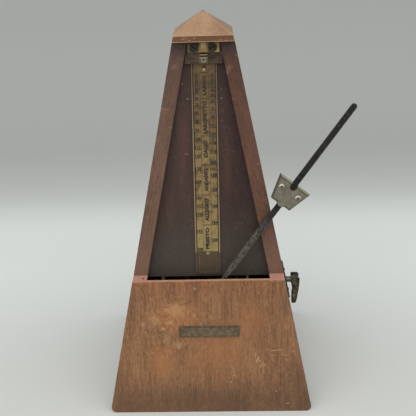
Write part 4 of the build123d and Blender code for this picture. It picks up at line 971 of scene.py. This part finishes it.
def copy_line(line, place, length, width=1.0):
    """A copy of a line that is 1 m long, with its length in metres and its width as a share."""
    longer = Matrix.Scale(length, 4, (1, 0, 0))
    return copy_at(line, place @ longer @ Matrix.Scale(width, 4, (0, 1, 0)))


def start_plane(name, length, width):
    """A rectangle in edit mode, with all of it selected."""
    clear_selection()
    bpy.ops.mesh.primitive_plane_add(size=1)
    plane = bpy.context.object
    plane.name = name
    bpy.ops.object.mode_set(mode="EDIT")
    bpy.ops.transform.resize(value=(length, width, 1))
    return plane


def end_edit():
    """Turns all faces outwards and leaves edit mode."""
    bpy.ops.mesh.select_all(action="SELECT")
    bpy.ops.mesh.normals_make_consistent(inside=False)
    bpy.ops.object.mode_set(mode="OBJECT")


def raised_bar(name, length, width, height):
    """A low bar in the plane of its place, with its upper edges drawn in."""
    bar = start_plane(name, length, width)
    bpy.ops.mesh.extrude_region_move(TRANSFORM_OT_translate={"value": (0, 0, height)})
    bpy.ops.transform.resize(value=((length - height) / length, (width - height) / width, 1))
    end_edit()
    return bar


def raised_border(name, width, height, line, rise):
    """A thin closed border round a rectangle."""
    border = start_plane(name, width, height)
    bpy.ops.mesh.inset(thickness=line, depth=0)
    bpy.ops.mesh.delete(type="ONLY_FACE")
    bpy.ops.mesh.select_all(action="SELECT")
    bpy.ops.mesh.extrude_region_move(TRANSFORM_OT_translate={"value": (0, 0, rise)})
    end_edit()
    return border


def lettering(name, words, length, height, thickness, place, bold):
    """Words as a thin mesh of a given length and height of capitals, centred in the plane of their place."""
    clear_selection()
    bpy.ops.object.text_add()
    text = bpy.context.object
    text.data.body = words
    text.data.extrude = 0.5
    text.data.offset = bold
    text.data.resolution_u = 2
    bpy.ops.object.convert(target="MESH")
    text = bpy.context.object
    text.name = name
    low = Vector(min(v.co[i] for v in text.data.vertices) for i in range(3))
    high = Vector(max(v.co[i] for v in text.data.vertices) for i in range(3))
    size = high - low
    fit = Matrix.Diagonal((length / size.x, height / size.y, thickness / size.z, 1))
    text.data.transform(place @ fit @ Matrix.Translation(-(low + high) / 2))
    return text


def give(piece, body, material):
    """Gives a new piece its finish and the body that carries it."""
    piece.data.materials.clear()
    piece.data.materials.append(material)
    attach(piece, body)


def dress(node, material):
    """Gives a node of the part its finish."""
    for slot in parts[node].material_slots:
        slot.material = material


def dress_slot(slot, material):
    """Gives every node that the record lists under a slot its finish."""
    for row in record["subparts"]:
        if row["material_slot"] == slot:
            dress(row["node"], material)


def dress_plain(slot, name, clean, dull, **look):
    """Gives every node under a slot a metal that has no marks of its own."""
    dress_slot(slot, finish_metal(metal(name, clean, dull, **look)))


# --- The tempo scale -----------------------------------------------------------------------

TEMPI = (
    *range(40, 60, 2), *range(60, 72, 3), *range(72, 120, 4), *range(120, 144, 6), *range(144, 209, 8)
)
BALANCE = 135.8         # height at which the weight would cancel the bob, in millimetres
INERTIA = 10126.5       # the pendulum's own inertia over the weight, in square millimetres
PULL = 4.2591e6         # gravity's pull, in square beats a minute
BANDS = (               # each tempo word with its length, and the bottom and top of its field, in millimetres
    ("PRESTO", 12.6, 25.6, 41.4), ("ALLEGRO", 13.2, 41.4, 58.8), ("ANDANTE", 13.4, 58.8, 76.2),
    ("ADAGIO", 11.4, 76.2, 92.4), ("LARGHETTO", 18.4, 92.4, 113.2), ("LARGO", 10.8, 113.2, 127.6),
)

# Heights above the pendulum's axis and sizes of the scale's marks, in millimetres.
FOOT = 25.6             # the lowest line
WORDS_TOP = 127.6       # the top of the two lines beside the words
HEAD = 132.2            # the top of the two outer lines
COLUMN = 4.4            # from the middle of the scale to the middle of each column of figures
# The two outer lines are drawn wide and black inside the rims, as painted shade under them.
LONG_LINES = (          # the upright lines, each with its x, its top and its width over that of the others
    (-6.3, HEAD, 1.7), (6.3, HEAD, 1.7), (-2.4, WORDS_TOP, 0.5), (2.4, WORDS_TOP, 0.5)
)
TICK_GAP = 0.3          # from the middle of a tick to the foot of the figure above it
WORD_LINE = 4.6         # length of the line above a word
FOOT_LINE = 12.8        # length of the lowest line
BORDER_WIDTH = 10.4     # of the border under the lowest line
BORDER_MARGIN = 1.2     # above and below that border
FACE = 0.35             # how far the face that carries the marks lies under the plate's rims
LIFT = 0.01             # how far the plane of the marks stands before that face
SLIMNESS = 0.62         # width of a figure over its height, as a share


def tempo_height(beats):
    """How far above the axis the top of the weight stands for a tempo, in millimetres."""
    low, high = 0.0, BALANCE
    for _ in range(40):
        middle = (low + high) / 2
        if PULL * (BALANCE - middle) / (INERTIA + middle**2) > beats**2:
            low = middle
        else:
            high = middle
    return low


def figure_share(beats):
    """The figures of slow tempi stand closer together, and so they are smaller."""
    return 0.75 if beats < 60 else 0.88 if beats < 80 else 1.0


class METRONOME_OT_scale_marks(bpy.types.Operator):
    """Draws the figures, ticks, lines and tempo words of the scale"""

    bl_idname = "metronome.scale_marks"
    bl_label = "Scale marks"

    def execute(self, context):
        marks = context.scene.metronome_marks
        ink = printed_ink(marks)
        depth = depth_of("scale_plate") + FACE * MM - LIFT * MM
        tick = raised_bar("tick", marks.tick_length, marks.line_width, marks.thickness)
        line = raised_bar("line", 1.0, marks.line_width, marks.thickness)
        figures, lines, words = [], [], []
        for count, beats in enumerate(TEMPI):
            side = COLUMN if (len(TEMPI) - 1 - count) % 2 else -COLUMN
            rise = tempo_height(beats) * MM
            lines.append(copy_at(tick, face_place(side * MM, rise, depth)))
            size = marks.figure_height * figure_share(beats)
            place = face_place(side * MM, rise + 0.5 * size + TICK_GAP * MM, depth)
            length = len(str(beats)) * SLIMNESS * size
            figures.append(lettering(
                f"figure_{beats}", str(beats), length, size, marks.thickness, place, bold=0.045
            ))
        for word, length, bottom, top in BANDS:
            place = face_place(0, (bottom + top) / 2 * MM, depth, pi / 2)
            words.append(lettering(
                word.lower(), word, length * MM, marks.word_height, marks.thickness, place, bold=0.06
            ))
            lines.append(copy_line(line, face_place(0, top * MM, depth), WORD_LINE * MM))
        lines.append(copy_line(line, face_place(0, FOOT * MM, depth), FOOT_LINE * MM))
        for x, top, width in LONG_LINES:
            place = face_place(x * MM, (FOOT + top) / 2 * MM, depth, pi / 2)
            lines.append(copy_line(line, place, (top - FOOT) * MM, width))
        bottom = height_up_face("scale_plate", False) / MM
        tall = FOOT - bottom - 2 * BORDER_MARGIN
        border = raised_border("foot_border", BORDER_WIDTH * MM, tall * MM, 0.34 * MM, marks.thickness)
        border.data.transform(face_place(0, (FOOT + bottom) / 2 * MM, depth))
        give(border, "case", foot_border_brass(context.scene.metronome_metal))
        for template in (tick, line):
            bpy.data.objects.remove(template)
        for name, pieces in (("scale_figures", figures), ("scale_lines", lines), ("scale_words", words)):
            give(gather(name, pieces), "case", ink)
        return {"FINISHED"}


class METRONOME_OT_front_plate_border(bpy.types.Operator):
    """Adds the thin border of the bare plate on the front panel"""

    bl_idname = "metronome.front_plate_border"
    bl_label = "Front plate border"

    def execute(self, context):
        marks = context.scene.metronome_marks
        low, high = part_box("name_plate")
        bottom, top = height_up_face("name_plate", False), height_up_face("name_plate", True)
        inside = 1.0 * MM
        border = raised_border(
            "front_plate_border", high.x - low.x - inside, top - bottom - inside, 0.22 * MM, marks.thickness
        )
        # Only the border's upper face stands before the plate. The rest of it is inside.
        depth = depth_of("name_plate") - LIFT * MM + marks.thickness
        border.data.transform(face_place((low.x + high.x) / 2, (bottom + top) / 2, depth))
        give(border, "case", printed_ink(marks))
        return {"FINISHED"}


class METRONOME_OT_case(bpy.types.Operator):
    """Gives the boards, cap and base their woods"""

    bl_idname = "metronome.case"
    bl_label = "Case woods"

    def execute(self, context):
        for slot, wood in WOODS.items():
            dress_slot(slot, wood(context.scene.metronome_wood))
        return {"FINISHED"}


class METRONOME_OT_fittings(bpy.types.Operator):
    """Gives the scale, catch, plates, pins and screws of the case their metals"""

    bl_idname = "metronome.fittings"
    bl_label = "Case fittings"

    def execute(self, context):
        metals = context.scene.metronome_metal
        dress_slot("scale_brass", scale_brass(metals))
        dress_plain("pin_brass", "pin brass", metals.pin, metals.scale_dull, cloud=1.5, dullness=0.35)
        dress("catch_bracket", bracket_brass(metals))
        dress("catch_crossbar", crossbar_brass(metals))
        plate_clean, plate_dull = metals.plate_clean, metals.plate_dull
        dress_plain(
            "name_plate_brass", "front plate brass", plate_clean, plate_dull, cloud=2.5, specks=0.3,
            rough=0.15, metallic=0.45, edge=toned(plate_dull, 0.5), edge_width=0.3,
        )
        dress_plain(
            "escutcheon_brass", "escutcheon brass", metals.escutcheon, toned(metals.escutcheon, 0.6),
            cloud=4.0, rough=0.1,
        )
        pins = metal(
            "front plate pins", plate_clean, plate_dull, cloud=1.0, dullness=0.4, edge=toned(plate_dull, 0.35)
        )
        dress("name_plate_pins", finish_metal(pins))
        dress_slot("dark_screw_steel", dark_screws(metals))
        return {"FINISHED"}


class METRONOME_OT_pendulum(bpy.types.Operator):
    """Gives the rod, bob and sliding weight their metals"""

    bl_idname = "metronome.pendulum"
    bl_label = "Pendulum"

    def execute(self, context):
        metals = context.scene.metronome_metal
        dress_slot("rod_steel", rod_steel(metals))
        dress_plain(
            "bob_iron", "cast iron", metals.iron, toned(metals.iron, 0.6),
            cloud=2.0, rough=0.25, metallic=0.6, bump=0.5,
        )
        dress_slot("weight_nickel", weight_nickel(metals))
        dress_slot("rivet_steel", rivet_steel(metals))
        return {"FINISHED"}


class METRONOME_OT_movement(bpy.types.Operator):
    """Gives the clockwork its metals"""

    bl_idname = "metronome.movement"
    bl_label = "Movement"

    def execute(self, context):
        metals = context.scene.metronome_metal
        bright_steel, bright_brass = shade(168, 166, 158), shade(184, 158, 104)
        for slot, clean, darker, look in (
            ("frame_steel", metals.plate_steel, 0.7, dict(cloud=7.0, rough=0.05)),
            ("screw_steel", metals.steel, 0.6, dict(cloud=1.5, edge=bright_steel, edge_width=0.2)),
            ("movement_brass", metals.movement_brass, 0.7,
             dict(cloud=5.0, dullness=0.4, edge=bright_brass, edge_width=0.2)),
            ("spring_steel", metals.spring, 0.6, dict(cloud=4.0, dullness=0.4)),
            ("arbor_steel", metals.steel, 0.65, dict(cloud=2.0, dullness=0.4)),
        ):
            dress_plain(slot, slot.replace("_", " "), clean, toned(clean, darker), **look)
        return {"FINISHED"}


class METRONOME_OT_key(bpy.types.Operator):
    """Gives the folding key its metal"""

    bl_idname = "metronome.key"
    bl_label = "Winding key"

    def execute(self, context):
        metals = context.scene.metronome_metal
        # The key's edges get a painted highlight in the edge colour.
        dress_plain(
            "key_steel", "key steel", metals.key_clean, metals.key_dull,
            cloud=2.5, specks=0.6, rough=0.05, edge=shade(150, 142, 124),
        )
        return {"FINISHED"}


# --- Stage ---------------------------------------------------------------------------------

CAMERA_AT = Vector((6.0, -418.0, 268.23)) * MM
CAMERA_TURNS = (0.37243, -0.03775, -0.03306)    # down, to the left and over to the left, in radians
CAMERA_SHIFT = 0.04     # how far the picture is shifted sideways, as a share of its width
LAMPS = (               # each lamp with its place, its width in metres and the setting that holds its power
    ("main_lamp", (-0.5, -0.8, 1.1), 1.8, "key_power"),
    ("second_lamp", (0.65, -0.75, 1.0), 2.0, "fill_power"),
)
LAMPS_AIM = Vector((0, 0, 0.1))
FLOOR_WIDTH, FLOOR_LENGTH = 5, 2.6
FLOOR_MIDDLE = -1.0     # along Y, in metres
FLOOR_END = FLOOR_MIDDLE + FLOOR_LENGTH / 2
TURN_RADIUS = 0.2       # of the curve from the floor's end up to the wall
WALL_RISE = (0, 0.3, 1.7)


def camera_place(pitch, yaw, roll):
    """The camera's axes from its turns, as a matrix."""
    ahead = Vector((0, 1, 0))
    ahead.rotate(Matrix.Rotation(-pitch, 3, "X"))
    ahead.rotate(Matrix.Rotation(-yaw, 3, "Z"))
    right = ahead.cross(Vector((0, 0, 1))).normalized()
    up = right.cross(ahead)
    lean = Matrix.Rotation(-roll, 3, ahead)
    right.rotate(lean)
    up.rotate(lean)
    return Matrix((right, up, -ahead)).transposed().to_4x4()


class METRONOME_OT_studio(bpy.types.Operator):
    """Sets up the floor with its backdrop, the lamps, the even light and the camera"""

    bl_idname = "metronome.studio"
    bl_label = "Studio"

    def execute(self, context):
        settings = context.scene.metronome_studio
        self.camera(context, settings)
        self.backdrop(settings)
        self.lamps(settings)
        self.sky(context, settings)
        return {"FINISHED"}

    def camera(self, context, settings):
        bpy.ops.object.camera_add()
        camera = bpy.context.object
        camera.name = "camera"
        camera.data.sensor_width = 36
        camera.data.lens = settings.lens
        camera.data.shift_x = CAMERA_SHIFT
        camera.data.clip_start = 0.01
        camera.matrix_world = Matrix.Translation(CAMERA_AT) @ camera_place(*CAMERA_TURNS)
        context.scene.camera = camera

    def backdrop(self, settings):
        floor = start_plane("backdrop", FLOOR_WIDTH, FLOOR_LENGTH)
        bpy.ops.transform.translate(value=(0, FLOOR_MIDDLE, 0))
        select_edges(floor, lambda edge: all(v.co.y > FLOOR_END - 0.01 for v in edge.verts))
        centre = (0, FLOOR_END, TURN_RADIUS)
        bpy.ops.mesh.spin(steps=24, angle=radians(80), center=centre, axis=(-1, 0, 0))
        bpy.ops.mesh.extrude_region_move(TRANSFORM_OT_translate={"value": WALL_RISE})
        bpy.ops.object.mode_set(mode="OBJECT")
        bpy.ops.object.shade_smooth_by_angle(angle=radians(40))
        finish = Finish("backdrop paper")
        # Painted light and shade on the paper: lighter on the floor behind the object, darker up the wall.
        near = mix(ramp(finish.y, -0.06, 0.14), settings.floor, settings.far_floor)
        finish.colour = mix(ramp(finish.y, 0.2, 0.41), near, settings.wall)
        finish.rough = plus(0.8, times(noise(finish.place, 700.0), 0.1))
        floor.data.materials.append(finish.done(Specular_IOR_Level=0.1))

    def lamps(self, settings):
        for name, place, size, power in LAMPS:
            bpy.ops.object.light_add(type="AREA")
            lamp = bpy.context.object
            lamp.name = name
            lamp.data.shape = "DISK"
            lamp.data.size = size
            lamp.data.energy = getattr(settings, power)
            turned = (LAMPS_AIM - Vector(place)).to_track_quat("-Z", "Y").to_matrix().to_4x4()
            lamp.matrix_world = Matrix.Translation(place) @ turned

    def sky(self, context, settings):
        world = bpy.data.worlds.new("even light")
        world.use_nodes = True
        light = world.node_tree.nodes["Background"].inputs
        light["Color"].default_value = (1, 1, 1, 1)
        light["Strength"].default_value = settings.sky
        context.scene.world = world
        context.scene.view_settings.view_transform = "Standard"


STEPS = (
    METRONOME_OT_studio, METRONOME_OT_case, METRONOME_OT_fittings, METRONOME_OT_pendulum,
    METRONOME_OT_movement, METRONOME_OT_key, METRONOME_OT_scale_marks, METRONOME_OT_front_plate_border,
)
SETTINGS = {
    "metronome_wood": WoodFinish,
    "metronome_metal": MetalFinish,
    "metronome_marks": ScaleMarks,
    "metronome_studio": Studio,
}


class METRONOME_PT_panel(bpy.types.Panel):
    """Lists the steps that dress the metronome"""

    bl_idname = "METRONOME_PT_panel"
    bl_label = "Metronome"
    bl_space_type = "VIEW_3D"
    bl_region_type = "UI"
    bl_category = "Metronome"

    def draw(self, context):
        for step in STEPS:
            self.layout.operator(step.bl_idname)
        for setting in SETTINGS:
            group = getattr(context.scene, setting)
            box = self.layout.box()
            for name in group.bl_rna.properties.keys():
                if name not in ("rna_type", "name"):
                    box.prop(group, name)


CLASSES = (*SETTINGS.values(), *STEPS, METRONOME_PT_panel)


def register():
    for cls in CLASSES:
        bpy.utils.register_class(cls)
    for name, group in SETTINGS.items():
        setattr(bpy.types.Scene, name, PointerProperty(type=group))


def unregister():
    for name in SETTINGS:
        delattr(bpy.types.Scene, name)
    for cls in reversed(CLASSES):
        bpy.utils.unregister_class(cls)


def main():
    register()
    bpy.ops.metronome.studio()
    bpy.ops.metronome.case()
    bpy.ops.metronome.fittings()
    bpy.ops.metronome.pendulum()
    bpy.ops.metronome.movement()
    bpy.ops.metronome.key()
    bpy.ops.metronome.scale_marks()
    bpy.ops.metronome.front_plate_border()


if __name__ == "__main__":
    main()
